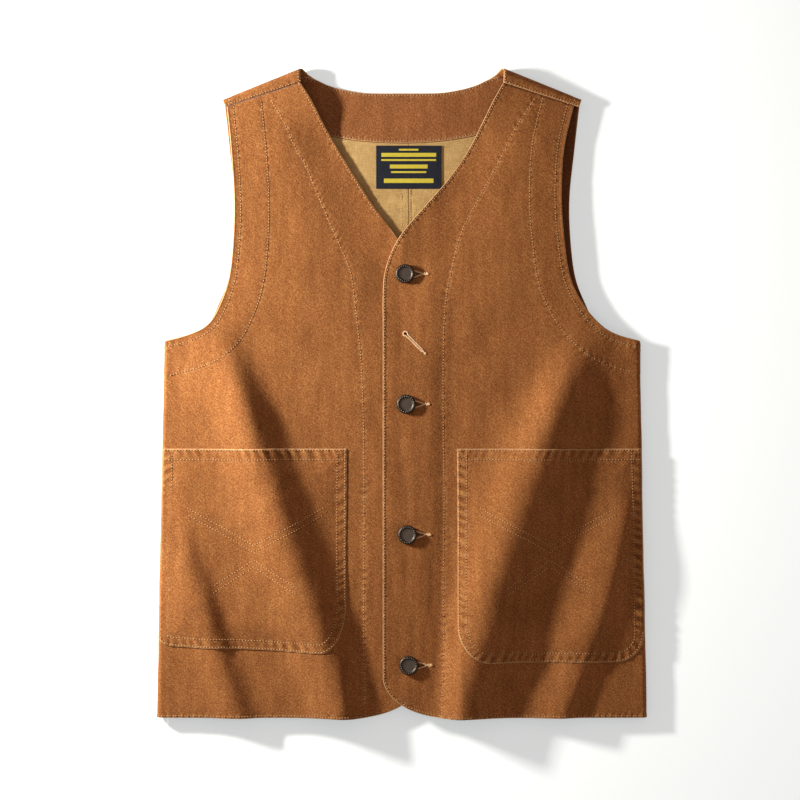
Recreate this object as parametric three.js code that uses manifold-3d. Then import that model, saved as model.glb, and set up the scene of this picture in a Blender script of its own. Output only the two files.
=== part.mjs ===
// A sleeveless work vest of brown canvas, lying on its back with its front up.
// X runs to the viewer's right, Y towards the neck and Z up. The origin is under the middle of the
// outline, on the surface that the back lies on. Lengths are in millimetres.
// "Across" is a distance outward from the centre line and "down" one below the shoulder tops.

import * as THREE from 'three';
import { mergeVertices } from 'three/addons/utils/BufferGeometryUtils.js';
import Module from 'manifold-3d';

const { lerp, smoothstep, clamp } = THREE.MathUtils;
const wasm = await Module();
wasm.setup();

// Outline of the body
const BODY_LENGTH = 676; // shoulder tops to hem
const CHEST_WIDTH = 496; // side to side at the underarms
const HEM_WIDTH = 510; // side to side at the hem
const SHOULDER_SPAN = 374; // tip to tip along the shoulder folds
const SHOULDER_DROP = 33; // fall of a shoulder from the neck to its tip
const NECK_WIDTH = 208; // between the neck ends of the shoulder folds
const BACK_NECK_DROP = 25; // middle of the back neck below the shoulder tops
const ARMHOLE_DROP = 284; // underarm below the shoulder tops
const ARMHOLE_INSET = 73; // how far the armhole cuts in from the underarm
const FRONT_EDGE_DROP = 241; // where the front edges turn straight, below the shoulder tops
const FRONT_OVERLAP = 40; // how far the right front lies over the left
const CUTAWAY_WIDTH = 70; // rounded lower corner of each front
const CUTAWAY_HEIGHT = 43;
const BACK_HEM_RISE = 16; // middle of the back's hem above its ends
const BACK_HEM_REACH = 90; // how far out from the middle it rises
const BACK_HEM_HEIGHT = 80; // how far up the cloth above it follows
const SEAM_AT_NECK = 14; // shoulder seam forward of the fold, at the neck
const SEAM_AT_TIP = 8; // and at the tip

// Heights above the surface
const BODY_HEIGHT = 9.8; // over the chest
const SIDE_HEIGHT = 8.8; // over the sides and the armholes' edges
const SIDE_FALL = 70; // over this width the fronts come down to it
const SIDE_SHELF = 20; // of which this much lies beyond the edge
const SHOULDER_HEIGHT = 16; // over the shoulder folds, at the neck
const TIP_HEIGHT = 9.5; // and at the tips
const CHEST_BELOW_FOLD = 170; // where the fronts are down at the chest's height
const NECK_EDGE_HEIGHT = 5.6; // over the necklines' edges, which sink to the lining
const NECK_EDGE_REACH = 38; // how far from the edge the fronts sink with it
const NECK_SINK_TOP = 30; // below the shoulder tops, where they start to sink
const NECK_SINK_LOW = 85; // and where they are down
const NECK_SINK_END = 320; // and where the fronts are back at the chest's height
const FOLD_HEIGHT = 18; // rise of a fold whose share is 1
const STIFF_PLACKET = 24; // how far from the centre line the placket stays out of the folds
const STIFF_REACH = 64; // and how far out the folds are at their full height

// Cloth
const SHELL_CLOTH = 1.4;
const POCKET_CLOTH = 1.2;
const LINING_CLOTH = 1;
const LABEL_CLOTH = 1;
const PLY_GAP = 0.3; // between plies that touch
const SEAM_GAP = 0.8; // between the cut edges that meet in a seam
const OVERLAP_GAP = 0.6; // between the two fronts where they overlap

// Inside of the back
const FACING_DEPTH = 52; // neck facing at the middle of the back
const FACING_AT_SHOULDER = 50; // neck facing along the shoulder
const ARMHOLE_FACING_WIDTH = 25;
const LINING_HEM = 20; // lining's end above the hem
const LINING_SEAM_OFFSET = 7; // centre seam of the lining, to the viewer's right
const LABEL_WIDTH = 68;
const LABEL_HEIGHT = 45;
const LABEL_GAP = 3; // below the neck facing
const LABEL_OFFSET = 7;

// Pockets
const POCKET_MOUTH_DROP = 396; // mouths below the shoulder tops
const POCKET_FOOT_RISE = 61; // feet above the hem
const POCKET_SKEW = 3; // how much lower the right one's foot lies, and how much higher the left's
const POCKET_TILT = 11; // how much the left one's foot rises towards the side
const POCKET_INSET = 57; // pocket's edge from the centre line
const POCKET_SIDE_GAP = 3; // pocket's outer edge from the side seam, round the side
const POCKET_GAP = 1; // between pocket and front along the stitched edges
const POCKET_EASE = 0.8; // how much further the pocket stands off between them
const POCKET_EASE_WIDTH = 30; // over which it does

// Rounded lower corners of the pockets
const POCKET_CORNERS = {
  left: { inner: { width: 26, height: 56 }, outer: { width: 16, height: 8 } },
  right: { inner: { width: 32, height: 40 }, outer: { width: 30, height: 30 } },
};

// Buttons and buttonholes
const BUTTON_COUNT = 4;
const BUTTON_DIAMETER = 20;
const BUTTON_HEIGHT = 4.2;
const BUTTON_TOP_RISE = 27; // first button above the place where the front edges turn straight
const BUTTON_FOOT_RISE = 55; // last button above the hem
const BUTTON_OFFSET = 3; // first button to the right of the centre line
const BUTTON_DRIFT = 4; // how much further right the last one sits
const POST_DIAMETER = 4;
const POST_CLEARANCE = 0.6;
const TACK_DIAMETER = 9;
const TACK_THICKNESS = 1;
const BUTTONHOLE_LENGTH = 22; // from the post to the end of the slit
const SLIT_WIDTH = 1.2;
const WATCH_HOLE_LENGTH = 26;
const WATCH_HOLE_EYE = 4.5;
const WATCH_HOLE_PLACE = 0.46; // share of the way from the first button to the second

// How finely the cloth is faceted
const CELL = 20.5;
const ARMHOLE_CELL = CELL * 1.25; // along the fronts' armholes
const BACK_CELL = CELL * 2.2; // the back lies flat, so its cells are larger
const BACK_ROW = CELL * 3; // height of its rows below the underarm
const UPPER_ROWS = 14; // rows of the back above the underarm
const NECK_ROWS = 6; // of those, the rows that start at the neck edge
const WRAP_ROWS = 5; // rows of the back round the shoulder fold
const LINING_STRIPS = 5;
const BUTTON_SIDES = 14;
const HOLE_SIDES = 10;

// The main folds of the fronts, which all run down to the hem. Top is a share of the body's length.
// Start, middle and end are where the crest is, as shares of half the chest, to the viewer's right.
// Rise is a share of FOLD_HEIGHT, and left and right, the widths of the flanks, are shares of half
// the chest.
const FOLDS = [
  { top: 0.41, start: -0.755, middle: -0.5, end: -0.22, rise: 0.9, left: 0.135, right: 0.105 },
  { top: 0.7, start: -0.93, middle: -0.82, end: -0.68, rise: 0.46, left: 0.1, right: 0.06 },
  { top: 0.41, start: 0.76, middle: 0.465, end: 0.225, rise: 1, left: 0.127, right: 0.15 },
  { top: 0.64, start: 0.95, middle: 0.84, end: 0.665, rise: 0.38, left: 0.11, right: 0.055 },
];

// Where a fold grows in, above and below its top, as shares of the body's length. Its width is a
// share of the full one at its top, and is full at over, a share of the way down to the hem.
const FOLD_GROWTH = { above: 0.04, below: 0.14, width: 0.72, over: 0.4 };

// The armhole's edge from the underarm up: rise is a share of its height and the other columns are
// shares of ARMHOLE_INSET, for the left front, the right front and the back.
const ARMHOLE = [
  { rise: 0, left: 0, right: 0, back: 0 },
  { rise: 0.03, left: 0.36, right: 0.34, back: 0.37 },
  { rise: 0.073, left: 0.63, right: 0.57, back: 0.62 },
  { rise: 0.158, left: 0.8, right: 0.81, back: 0.77 },
  { rise: 0.278, left: 0.93, right: 1, back: 0.92 },
  { rise: 0.449, left: 0.99, right: 1.085, back: 0.99 },
  { rise: 0.62, left: 1, right: 1.12, back: 1 },
  { rise: 0.825, left: 0.957, right: 1.085, back: 0.93 },
];

// Where the armhole's edge ends, as a share of the shoulder's length
const ARMHOLE_END = { left: 0.98, right: 0.94, back: 1 };

// The neckline of each front from where its edge turns straight up to the shoulder seam: rise is a
// share of that height, and the other columns are shares of the way out from the front edge.
const NECKLINE = [
  { rise: 0, left: 0, right: 0 },
  { rise: 0.115, left: 0.04, right: 0.012 },
  { rise: 0.221, left: 0.123, right: 0.07 },
  { rise: 0.318, left: 0.238, right: 0.172 },
  { rise: 0.438, left: 0.4, right: 0.357 },
  { rise: 0.562, left: 0.54, right: 0.55 },
  { rise: 0.687, left: 0.68, right: 0.705 },
  { rise: 0.806, left: 0.803, right: 0.816 },
  { rise: 0.92, left: 0.91, right: 0.918 },
];

// The back neck from the centre line out: out is a share of half the neck's width and down one of
// its drop.
const BACK_NECK = [
  { out: 0, down: 1 },
  { out: 0.35, down: 0.99 },
  { out: 0.55, down: 0.88 },
  { out: 0.72, down: 0.7 },
  { out: 0.86, down: 0.44 },
];

// Lower edge of the neck facing: shares of its width and rise where it starts to bend up
const FACING_BEND = { foot: 0.42, out: 0.85, up: 0.25 };

// Profile of a button's cap: shares of its radius and height
const CAP_PROFILE = [
  { out: 0.85, up: 0 },
  { out: 1, up: 0.35 },
  { out: 0.93, up: 0.85 },
  { out: 0.8, up: 1 },
  { out: 0.66, up: 0.7 },
  { out: 0, up: 0.75 },
];

const HALF_CHEST = CHEST_WIDTH / 2;
const FLOOR_PLY = SHELL_CLOTH / 2; // middle of the back's cloth
const CHEST_LEVEL = BODY_HEIGHT - SHELL_CLOTH / 2;
const SIDE_LEVEL = SIDE_HEIGHT - SHELL_CLOTH / 2;
const NECK_EDGE_LEVEL = NECK_EDGE_HEIGHT - SHELL_CLOTH / 2;
const SIDE_RADIUS = (SIDE_LEVEL - FLOOR_PLY) / 2;
const NECK_RADIUS = (SHOULDER_HEIGHT - SHELL_CLOTH) / 2; // of the shoulder fold, at the neck
const TIP_RADIUS = (TIP_HEIGHT - SHELL_CLOTH) / 2;
const OVERLAP_LIFT = SHELL_CLOTH + OVERLAP_GAP;
const LIFT_FROM = FRONT_OVERLAP * 0.65; // where the upper front starts to come down
const LIFT_TO = FRONT_OVERLAP * 1.4; // and where it is down

// The shoulder fold, a line from the neck to the tip, for the side where x is positive
const FOLD_START = new THREE.Vector2(NECK_WIDTH / 2, 0);
const FOLD_END = new THREE.Vector2(SHOULDER_SPAN / 2, SHOULDER_DROP);
const SHOULDER_LENGTH = FOLD_START.distanceTo(FOLD_END);
const FOLD_ALONG = FOLD_END.clone().sub(FOLD_START).normalize();
const FOLD_OUT = new THREE.Vector2(FOLD_ALONG.y, -FOLD_ALONG.x);
const NECK_SLANT = SEAM_AT_NECK / 2; // how far the seam's neck end lies along the shoulder

// A point (across, down) from its place along the shoulder fold and its distance past the fold.
function byShoulder(along, past) {
  return new THREE.Vector2(
    FOLD_START.x + FOLD_ALONG.x * along + FOLD_OUT.x * past,
    FOLD_START.y + FOLD_ALONG.y * along + FOLD_OUT.y * past,
  );
}

function pastShoulder(point) {
  return point.clone().sub(FOLD_START).dot(FOLD_OUT);
}

function alongShoulder(point) {
  return point.clone().sub(FOLD_START).dot(FOLD_ALONG);
}

// Radius of the shoulder fold, at the middle of the cloth.
function shoulderRadius(along) {
  return lerp(NECK_RADIUS, TIP_RADIUS, clamp(along / SHOULDER_LENGTH, 0, 1));
}

// Half the body's width at the middle of the cloth.
function sideLine(down) {
  const share = clamp((down - ARMHOLE_DROP) / (BODY_LENGTH - ARMHOLE_DROP), 0, 1);
  return lerp(CHEST_WIDTH, HEM_WIDTH, share) / 2 - SHELL_CLOTH / 2;
}

// How far out the unrolled cloth reaches, up to the side seam.
function seamLine(down) {
  return sideLine(down) + SIDE_RADIUS * (Math.PI / 2 - 1) - SEAM_GAP / 2;
}

// Height of a round hump at a distance from its middle.
function bell(distance, reach) {
  return Math.exp(-((distance / reach) ** 2));
}

function foldRise(x, down) {
  let rise = 0;
  for (const fold of FOLDS) {
    const t = clamp((down / BODY_LENGTH - fold.top) / (1 - fold.top), 0, 1);
    const bend = (1 - t) * (1 - 2 * t) * fold.start + 4 * t * (1 - t) * fold.middle;
    const crest = (bend + t * (2 * t - 1) * fold.end) * HALF_CHEST;
    const spread = lerp(FOLD_GROWTH.width, 1, smoothstep(t, 0, FOLD_GROWTH.over));
    const reach = (x < crest ? fold.left : fold.right) * HALF_CHEST * spread;
    const from = fold.top - FOLD_GROWTH.above;
    const grown = smoothstep(down / BODY_LENGTH, from, fold.top + FOLD_GROWTH.below);
    rise += grown * fold.rise * FOLD_HEIGHT * bell(x - crest, reach);
  }
  return rise * smoothstep(Math.abs(x), STIFF_PLACKET, STIFF_REACH);
}

// Where the fronts' outer edge is at a height, roughly: the side, and above it the armhole.
function outerLine(down) {
  const cutIn = smoothstep(ARMHOLE_DROP - down, 0, ARMHOLE_INSET);
  return sideLine(down) - ARMHOLE_INSET * cutIn;
}

// Height of the fronts' cloth, before the sides roll under.
function frontLevel(x, down) {
  const point = new THREE.Vector2(Math.abs(x), down);
  const shoulder = FLOOR_PLY + 2 * shoulderRadius(alongShoulder(point));
  const inward = smoothstep(outerLine(down) - point.x, -SIDE_SHELF, SIDE_FALL - SIDE_SHELF);
  const body = lerp(SIDE_LEVEL, CHEST_LEVEL, inward);
  const settled = smoothstep(-pastShoulder(point), SEAM_AT_NECK, CHEST_BELOW_FOLD);
  const neckline = new THREE.Vector2(NECK_WIDTH / 2, -FRONT_EDGE_DROP);
  const fromNeck = point.x * -neckline.y + (down - FRONT_EDGE_DROP) * neckline.x;
  const low = smoothstep(down, NECK_SINK_TOP, NECK_SINK_LOW)
    * (1 - smoothstep(down, FRONT_EDGE_DROP - NECK_EDGE_REACH, NECK_SINK_END));
  const sunk = low * bell(fromNeck / neckline.length(), NECK_EDGE_REACH);
  return lerp(lerp(shoulder, body, settled), NECK_EDGE_LEVEL, sunk) + foldRise(x, down);
}

// Takes a point of a front, as cut, to its place. The cloth rolls down at the side.
function frontPlace(side, point, lift = 0) {
  const edge = sideLine(point.y);
  const turned = (point.x - (edge - SIDE_RADIUS)) / SIDE_RADIUS;
  const angle = clamp(turned, 0, Math.PI);
  const across = angle > 0 ? edge - SIDE_RADIUS + SIDE_RADIUS * Math.sin(angle) : point.x;
  const middle = FLOOR_PLY + SIDE_RADIUS;
  const level = frontLevel(side * across, point.y) + lift;
  const z = middle + (level - middle) * Math.cos(angle);
  return new THREE.Vector3(side * across, BODY_LENGTH / 2 - point.y, z);
}

// Takes a point of the back, as cut, to its place. The cloth curls up at the side and wraps over
// the shoulder fold.
function backPlace(side, point, lift = 0) {
  const along = alongShoulder(point);
  const radius = shoulderRadius(along);
  const wrapped = pastShoulder(point) + radius;
  if (wrapped > 0) {
    const angle = Math.min(wrapped / radius, Math.PI);
    const beyond = Math.max(wrapped - Math.PI * radius, 0);
    const place = byShoulder(along, radius * (Math.sin(angle) - 1) - beyond);
    const z = FLOOR_PLY + radius * (1 - Math.cos(angle)) + lift;
    return new THREE.Vector3(side * place.x, BODY_LENGTH / 2 - place.y, z);
  }
  const edge = sideLine(point.y);
  const turned = (point.x - (edge - SIDE_RADIUS)) / SIDE_RADIUS;
  const angle = clamp(turned, 0, Math.PI);
  const across = angle > 0 ? edge - SIDE_RADIUS + SIDE_RADIUS * Math.sin(angle) : point.x;
  const z = FLOOR_PLY + SIDE_RADIUS * (1 - Math.cos(angle)) + lift;
  return new THREE.Vector3(side * across, BODY_LENGTH / 2 - point.y, z);
}

// Points evenly spaced along a smooth curve through the given ones, both ends included.
function alongCurve(points, count) {
  return new THREE.SplineCurve(points).getSpacedPoints(count);
}

// Every length between two others, in steps of about the cell size.
function evenSteps(from, to, size = CELL) {
  const count = Math.max(1, Math.round(Math.abs(to - from) / size));
  return Array.from({ length: count + 1 }, (_, i) => lerp(from, to, i / count));
}

// The armhole's edge from the underarm to the shoulder, as cut.
function armholePoints(column, end) {
  const start = new THREE.Vector2(seamLine(ARMHOLE_DROP), ARMHOLE_DROP);
  const points = ARMHOLE.slice(1).map((row) => new THREE.Vector2(
    HALF_CHEST - row[column] * ARMHOLE_INSET,
    lerp(ARMHOLE_DROP, SHOULDER_DROP + SEAM_AT_TIP, row.rise),
  ));
  return [start, ...points, end];
}

// The neckline of a front from where its edge turns straight up to the shoulder seam.
function necklinePoints(column, end) {
  return [...NECKLINE.map((row) => new THREE.Vector2(
    lerp(-FRONT_OVERLAP / 2, end.x, row[column]),
    lerp(FRONT_EDGE_DROP, end.y, row.rise),
  )), end];
}

// Where the front edge is at a height, with its rounded lower corner.
function frontEdge(down) {
  const rise = BODY_LENGTH - down;
  const left = clamp(1 - rise / CUTAWAY_HEIGHT, 0, 1);
  return -FRONT_OVERLAP / 2 + CUTAWAY_WIDTH * (1 - Math.sqrt(1 - left * left));
}

// Heights at which the rows of a front lie below the underarm. They meet the mouth and the foot of
// the pocket.
function pocketFoot(side) {
  return BODY_LENGTH - POCKET_FOOT_RISE + side * POCKET_SKEW;
}

// How much higher the outer end of a row lies than its inner end.
function rowTilt(side, down) {
  const foot = pocketFoot(side);
  const below = (BODY_LENGTH - down) / (BODY_LENGTH - foot);
  const above = (down - POCKET_MOUTH_DROP) / (foot - POCKET_MOUTH_DROP);
  return side < 0 ? POCKET_TILT * clamp(Math.min(below, above), 0, 1) : 0;
}

const CORNER_RISES = [30, 60, 90].map((turn) => 1 - Math.cos(THREE.MathUtils.degToRad(turn)));

function lowerRows(side) {
  return [
    ...CORNER_RISES.map((share) => BODY_LENGTH - share * CUTAWAY_HEIGHT),
    ...evenSteps(pocketFoot(side), POCKET_MOUTH_DROP).slice(1),
    ...evenSteps(POCKET_MOUTH_DROP, ARMHOLE_DROP).slice(1),
    BODY_LENGTH,
    pocketFoot(side),
  ].sort((a, b) => b - a);
}

// Places of the columns of a front as shares of its width: one at the pocket's edge, two more round
// its corner and the last three round the side.
const COLUMNS = (() => {
  const inner = -FRONT_OVERLAP / 2;
  const outer = seamLine(ARMHOLE_DROP);
  const turn = SIDE_RADIUS * Math.PI / 2;
  const corner = POCKET_CORNERS.right.inner.width;
  const places = [
    ...evenSteps(inner, POCKET_INSET),
    ...CORNER_RISES.slice(0, 2).map((share) => POCKET_INSET + share * corner),
    ...evenSteps(POCKET_INSET + CORNER_RISES[1] * corner, outer - turn).slice(1),
    outer - turn / 2,
    outer - POCKET_SIDE_GAP,
    outer,
  ];
  return places.sort((a, b) => a - b).map((across) => (across - inner) / (outer - inner));
})();
const POCKET_COLUMN = evenSteps(-FRONT_OVERLAP / 2, POCKET_INSET).length - 1;

// The rows of a front, from the hem to the shoulder seam, each from its inner to its outer end.
function frontRows(side) {
  const column = side < 0 ? 'left' : 'right';
  const neckEnd = byShoulder(NECK_SLANT, -SEAM_AT_NECK - SEAM_GAP / 2);
  const tipEnd = byShoulder(SHOULDER_LENGTH * ARMHOLE_END[column], -SEAM_AT_TIP - SEAM_GAP / 2);
  const rows = lowerRows(side).map((down) => {
    const outerDown = down - rowTilt(side, down);
    return [
      new THREE.Vector2(frontEdge(down), down),
      new THREE.Vector2(seamLine(outerDown), outerDown),
    ];
  });
  const straight = new THREE.Vector2(-FRONT_OVERLAP / 2, ARMHOLE_DROP);
  const halfway = straight.clone().lerp(new THREE.Vector2(-FRONT_OVERLAP / 2, FRONT_EDGE_DROP), 0.5);
  const inner = [straight, halfway, ...necklinePoints(column, neckEnd)];
  const outer = armholePoints(column, tipEnd);
  const count = Math.round(new THREE.SplineCurve(outer).getLength() / ARMHOLE_CELL);
  const innerPoints = alongCurve(inner, count);
  const outerPoints = alongCurve(outer, count);
  for (let i = 1; i <= count; i += 1) rows.push([innerPoints[i], outerPoints[i]]);
  return rows;
}

// The middle face of a front: a grid of places.
function frontGrid(side, lifted) {
  return frontRows(side).map(([inner, outer]) => COLUMNS.map((share) => {
    const point = inner.clone().lerp(outer, share);
    const overlapped = 1 - smoothstep(point.x, LIFT_FROM, LIFT_TO);
    return frontPlace(side, point, lifted ? OVERLAP_LIFT * overlapped : 0);
  }));
}

// Direction square to a grid of places, at each of them, pointing up.
function gridNormals(grid) {
  return grid.map((row, j) => row.map((_, i) => {
    const left = row[Math.max(i - 1, 0)];
    const right = row[Math.min(i + 1, row.length - 1)];
    const below = grid[Math.max(j - 1, 0)][i];
    const above = grid[Math.min(j + 1, grid.length - 1)][i];
    return right.clone().sub(left).cross(above.clone().sub(below)).normalize();
  }));
}

// Triangles and quads of a grid as corner places, turned so that they face the same way.
function gridCells(grid, flipped) {
  const cells = [];
  for (let j = 0; j + 1 < grid.length; j += 1) {
    for (let i = 0; i + 1 < grid[j].length; i += 1) {
      const cell = [grid[j][i], grid[j][i + 1], grid[j + 1][i + 1], grid[j + 1][i]];
      cells.push(flipped ? cell.reverse() : cell);
    }
  }
  return cells;
}

// A sheet of cloth, closed all round, with half its thickness on each side of the given cells.
function clothGeometry(cells, thickness) {
  const numbers = new Map();
  const places = [];
  const numberOf = (place) => {
    const key = place.toArray().map((value) => Math.round(value * 1000)).join();
    if (!numbers.has(key)) {
      numbers.set(key, places.length);
      places.push(place);
    }
    return numbers.get(key);
  };
  const triangles = [];
  for (const cell of cells) {
    const [a, b, c, d] = cell.map(numberOf);
    const even = places[a].distanceTo(places[c]) <= places[b].distanceTo(places[d]);
    const pair = even ? [[a, b, c], [a, c, d]] : [[b, c, d], [b, d, a]];
    triangles.push(...pair.filter((corners) => new Set(corners).size === 3));
  }
  const normals = places.map(() => new THREE.Vector3());
  const edges = new Map();
  for (const [a, b, c] of triangles) {
    const first = places[b].clone().sub(places[a]);
    const face = first.cross(places[c].clone().sub(places[a]));
    for (const corner of [a, b, c]) normals[corner].add(face);
    for (const [from, to] of [[a, b], [b, c], [c, a]]) edges.set(`${from} ${to}`, [from, to]);
  }
  const count = places.length;
  const vertices = [];
  for (const half of [thickness / 2, -thickness / 2]) {
    places.forEach((place, i) => {
      vertices.push(...place.clone().addScaledVector(normals[i].clone().normalize(), half).toArray());
    });
  }
  const faces = [];
  for (const [a, b, c] of triangles) faces.push(a, b, c, a + count, c + count, b + count);
  for (const [from, to] of edges.values()) {
    if (edges.has(`${to} ${from}`)) continue;
    faces.push(from, from + count, to + count, from, to + count, to);
  }
  const geometry = new THREE.BufferGeometry();
  geometry.setAttribute('position', new THREE.Float32BufferAttribute(vertices, 3));
  geometry.setIndex(faces);
  geometry.computeVertexNormals();
  return geometry;
}

// Booleans
function solidOf(geometry, matrix = new THREE.Matrix4()) {
  const bare = geometry.clone().applyMatrix4(matrix);
  bare.deleteAttribute('normal');
  bare.deleteAttribute('uv');
  const merged = mergeVertices(bare, 1e-4);
  return new wasm.Manifold(new wasm.Mesh({
    numProp: 3,
    vertProperties: new Float32Array(merged.getAttribute('position').array),
    triVerts: new Uint32Array(merged.index.array),
  }));
}

function geometryOf(solid) {
  const mesh = solid.getMesh();
  const geometry = new THREE.BufferGeometry();
  geometry.setAttribute('position', new THREE.BufferAttribute(mesh.vertProperties, 3));
  geometry.setIndex(new THREE.BufferAttribute(mesh.triVerts, 1));
  geometry.computeVertexNormals();
  return geometry;
}

function cutThrough(geometry, cutters) {
  let solid = solidOf(geometry);
  for (const { shape, matrix } of cutters) solid = solid.subtract(solidOf(shape, matrix));
  return geometryOf(solid);
}

// A cutter for a keyhole: a round eye at the origin and a slit along X.
function keyholeShape(eyeRadius, length) {
  const outline = new THREE.Shape();
  const start = Math.asin(SLIT_WIDTH / 2 / eyeRadius);
  outline.moveTo(length, -SLIT_WIDTH / 2);
  outline.lineTo(length, SLIT_WIDTH / 2);
  outline.absarc(0, 0, eyeRadius, start, Math.PI * 2 - start, false);
  return throughCut(outline);
}

function roundShape(radius) {
  return throughCut(new THREE.Shape().absarc(0, 0, radius, 0, Math.PI * 2, false));
}

function throughCut(outline) {
  const reach = BODY_HEIGHT;
  const options = { depth: reach, bevelEnabled: false, curveSegments: HOLE_SIDES };
  return new THREE.ExtrudeGeometry(outline, options).translate(0, 0, -reach / 2);
}

// Buttons, from the neck to the hem
function buttonPoint(index) {
  const share = index / (BUTTON_COUNT - 1);
  const first = FRONT_EDGE_DROP - BUTTON_TOP_RISE;
  const last = BODY_LENGTH - BUTTON_FOOT_RISE;
  return new THREE.Vector2(BUTTON_OFFSET + BUTTON_DRIFT * share, lerp(first, last, share));
}

// Place of a point of the placket and the turn that sets a fastener square to the cloth there.
function placketMatrix(point, lift, turn = 0) {
  const step = 8;
  const place = frontPlace(1, point, lift);
  const right = frontPlace(1, point.clone().add(new THREE.Vector2(step, 0)), lift);
  const above = frontPlace(1, point.clone().add(new THREE.Vector2(0, -step)), lift);
  const axis = right.sub(place).cross(above.sub(place)).normalize();
  const square = new THREE.Quaternion().setFromUnitVectors(new THREE.Vector3(0, 0, 1), axis);
  const turned = new THREE.Quaternion().setFromAxisAngle(new THREE.Vector3(0, 0, 1), turn);
  return new THREE.Matrix4().compose(place, square.multiply(turned), new THREE.Vector3(1, 1, 1));
}

const POST_HOLE = POST_DIAMETER / 2 + POST_CLEARANCE;

function frontGeometry(side) {
  const upper = side > 0;
  const cloth = clothGeometry(gridCells(frontGrid(side, upper), side < 0), SHELL_CLOTH);
  const cutters = [];
  for (let i = 0; i < BUTTON_COUNT; i += 1) {
    const shape = upper ? keyholeShape(POST_HOLE, BUTTONHOLE_LENGTH) : roundShape(POST_HOLE);
    cutters.push({ shape, matrix: placketMatrix(buttonPoint(i), upper ? OVERLAP_LIFT : 0) });
  }
  if (upper) {
    const point = buttonPoint(0).lerp(buttonPoint(1), WATCH_HOLE_PLACE);
    const shape = keyholeShape(WATCH_HOLE_EYE / 2, WATCH_HOLE_LENGTH);
    cutters.push({ shape, matrix: placketMatrix(point, OVERLAP_LIFT, -Math.PI / 4) });
  }
  return cutThrough(cloth, cutters);
}

// A button with its post and tack in one, its origin at the middle of the lower front's cloth.
function buttonGeometry() {
  const radius = BUTTON_DIAMETER / 2;
  const post = POST_DIAMETER / 2;
  const foot = -SHELL_CLOTH / 2 - PLY_GAP;
  const seat = OVERLAP_LIFT + SHELL_CLOTH / 2 + PLY_GAP;
  const profile = [
    [0, foot - TACK_THICKNESS],
    [TACK_DIAMETER / 2, foot - TACK_THICKNESS],
    [TACK_DIAMETER / 2, foot],
    [post, foot],
    [post, seat],
    ...CAP_PROFILE.map((row) => [radius * row.out, seat + BUTTON_HEIGHT * row.up]),
  ];
  const points = profile.map(([out, up]) => new THREE.Vector2(out, up));
  return new THREE.LatheGeometry(points, BUTTON_SIDES).rotateX(Math.PI / 2);
}

// How far a pocket's foot is drawn up at a distance from one of its edges.
function cornerRise(corner, fromEdge) {
  const cut = clamp(1 - fromEdge / corner.width, 0, 1);
  return corner.height * (1 - Math.sqrt(1 - cut * cut));
}

// A pocket lies on the rows and columns of its front, with its lower corners drawn up.
function pocketGeometry(side) {
  const { inner, outer } = side < 0 ? POCKET_CORNERS.left : POCKET_CORNERS.right;
  const grid = frontGrid(side, side > 0);
  const normals = gridNormals(grid);
  const downs = lowerRows(side);
  const first = downs.indexOf(pocketFoot(side));
  const last = downs.indexOf(POCKET_MOUTH_DROP);
  const rises = downs.slice(first, last + 1).map((down) => downs[first] - down);
  const foot = grid[first].slice(POCKET_COLUMN, -1);
  const reaches = [0];
  for (let i = 1; i < foot.length; i += 1) reaches.push(reaches[i - 1] + foot[i].distanceTo(foot[i - 1]));
  const width = reaches.at(-1);
  const near = (SHELL_CLOTH + POCKET_CLOTH) / 2 + POCKET_GAP;
  const rows = rises.map((rise) => reaches.map((reach, i) => {
    const drawn = cornerRise(inner, reach) + cornerRise(outer, width - reach);
    const height = Math.max(inner.height, outer.height);
    const wanted = rise + drawn * Math.max(1 - rise / (height * 2), 0);
    const above = Math.max(rises.findIndex((value) => value >= wanted), 1);
    const share = (wanted - rises[above - 1]) / (rises[above] - rises[above - 1]);
    const column = POCKET_COLUMN + i;
    const low = first + above - 1;
    const place = grid[low][column].clone().lerp(grid[low + 1][column], share);
    const normal = normals[low][column].clone().lerp(normals[low + 1][column], share).normalize();
    const fromEdge = Math.min(reach, width - reach, rise);
    const eased = smoothstep(fromEdge, 0, POCKET_EASE_WIDTH);
    return place.addScaledVector(normal, side * (near + POCKET_EASE * eased));
  }));
  return clothGeometry(gridCells(rows, side < 0), POCKET_CLOTH);
}

// Rows of half the back or its lining, each from the centre line, or above it from the neck, to the
// outer edge. Below the underarm they run level.
function halfRows(foot, armpit, outerAt, inner, outer) {
  const rows = evenSteps(foot, armpit, BACK_ROW).slice(0, -1).map((down) => [
    new THREE.Vector2(inner[0].x, down),
    new THREE.Vector2(outerAt(down), down),
  ]);
  inner.forEach((point, i) => rows.push([point, outer[i]]));
  return rows;
}

// The centre line from the underarm's height up to the first of the given points, then those.
function upTheMiddle(points) {
  const count = UPPER_ROWS - NECK_ROWS;
  const straight = Array.from({ length: count }, (_, i) => (
    new THREE.Vector2(points[0].x, lerp(ARMHOLE_DROP, points[0].y, i / count))
  ));
  return [...straight, ...points];
}

const NECK_CURVE = BACK_NECK.map((row) => (
  new THREE.Vector2(row.out * NECK_WIDTH / 2, row.down * BACK_NECK_DROP)
));

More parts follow.
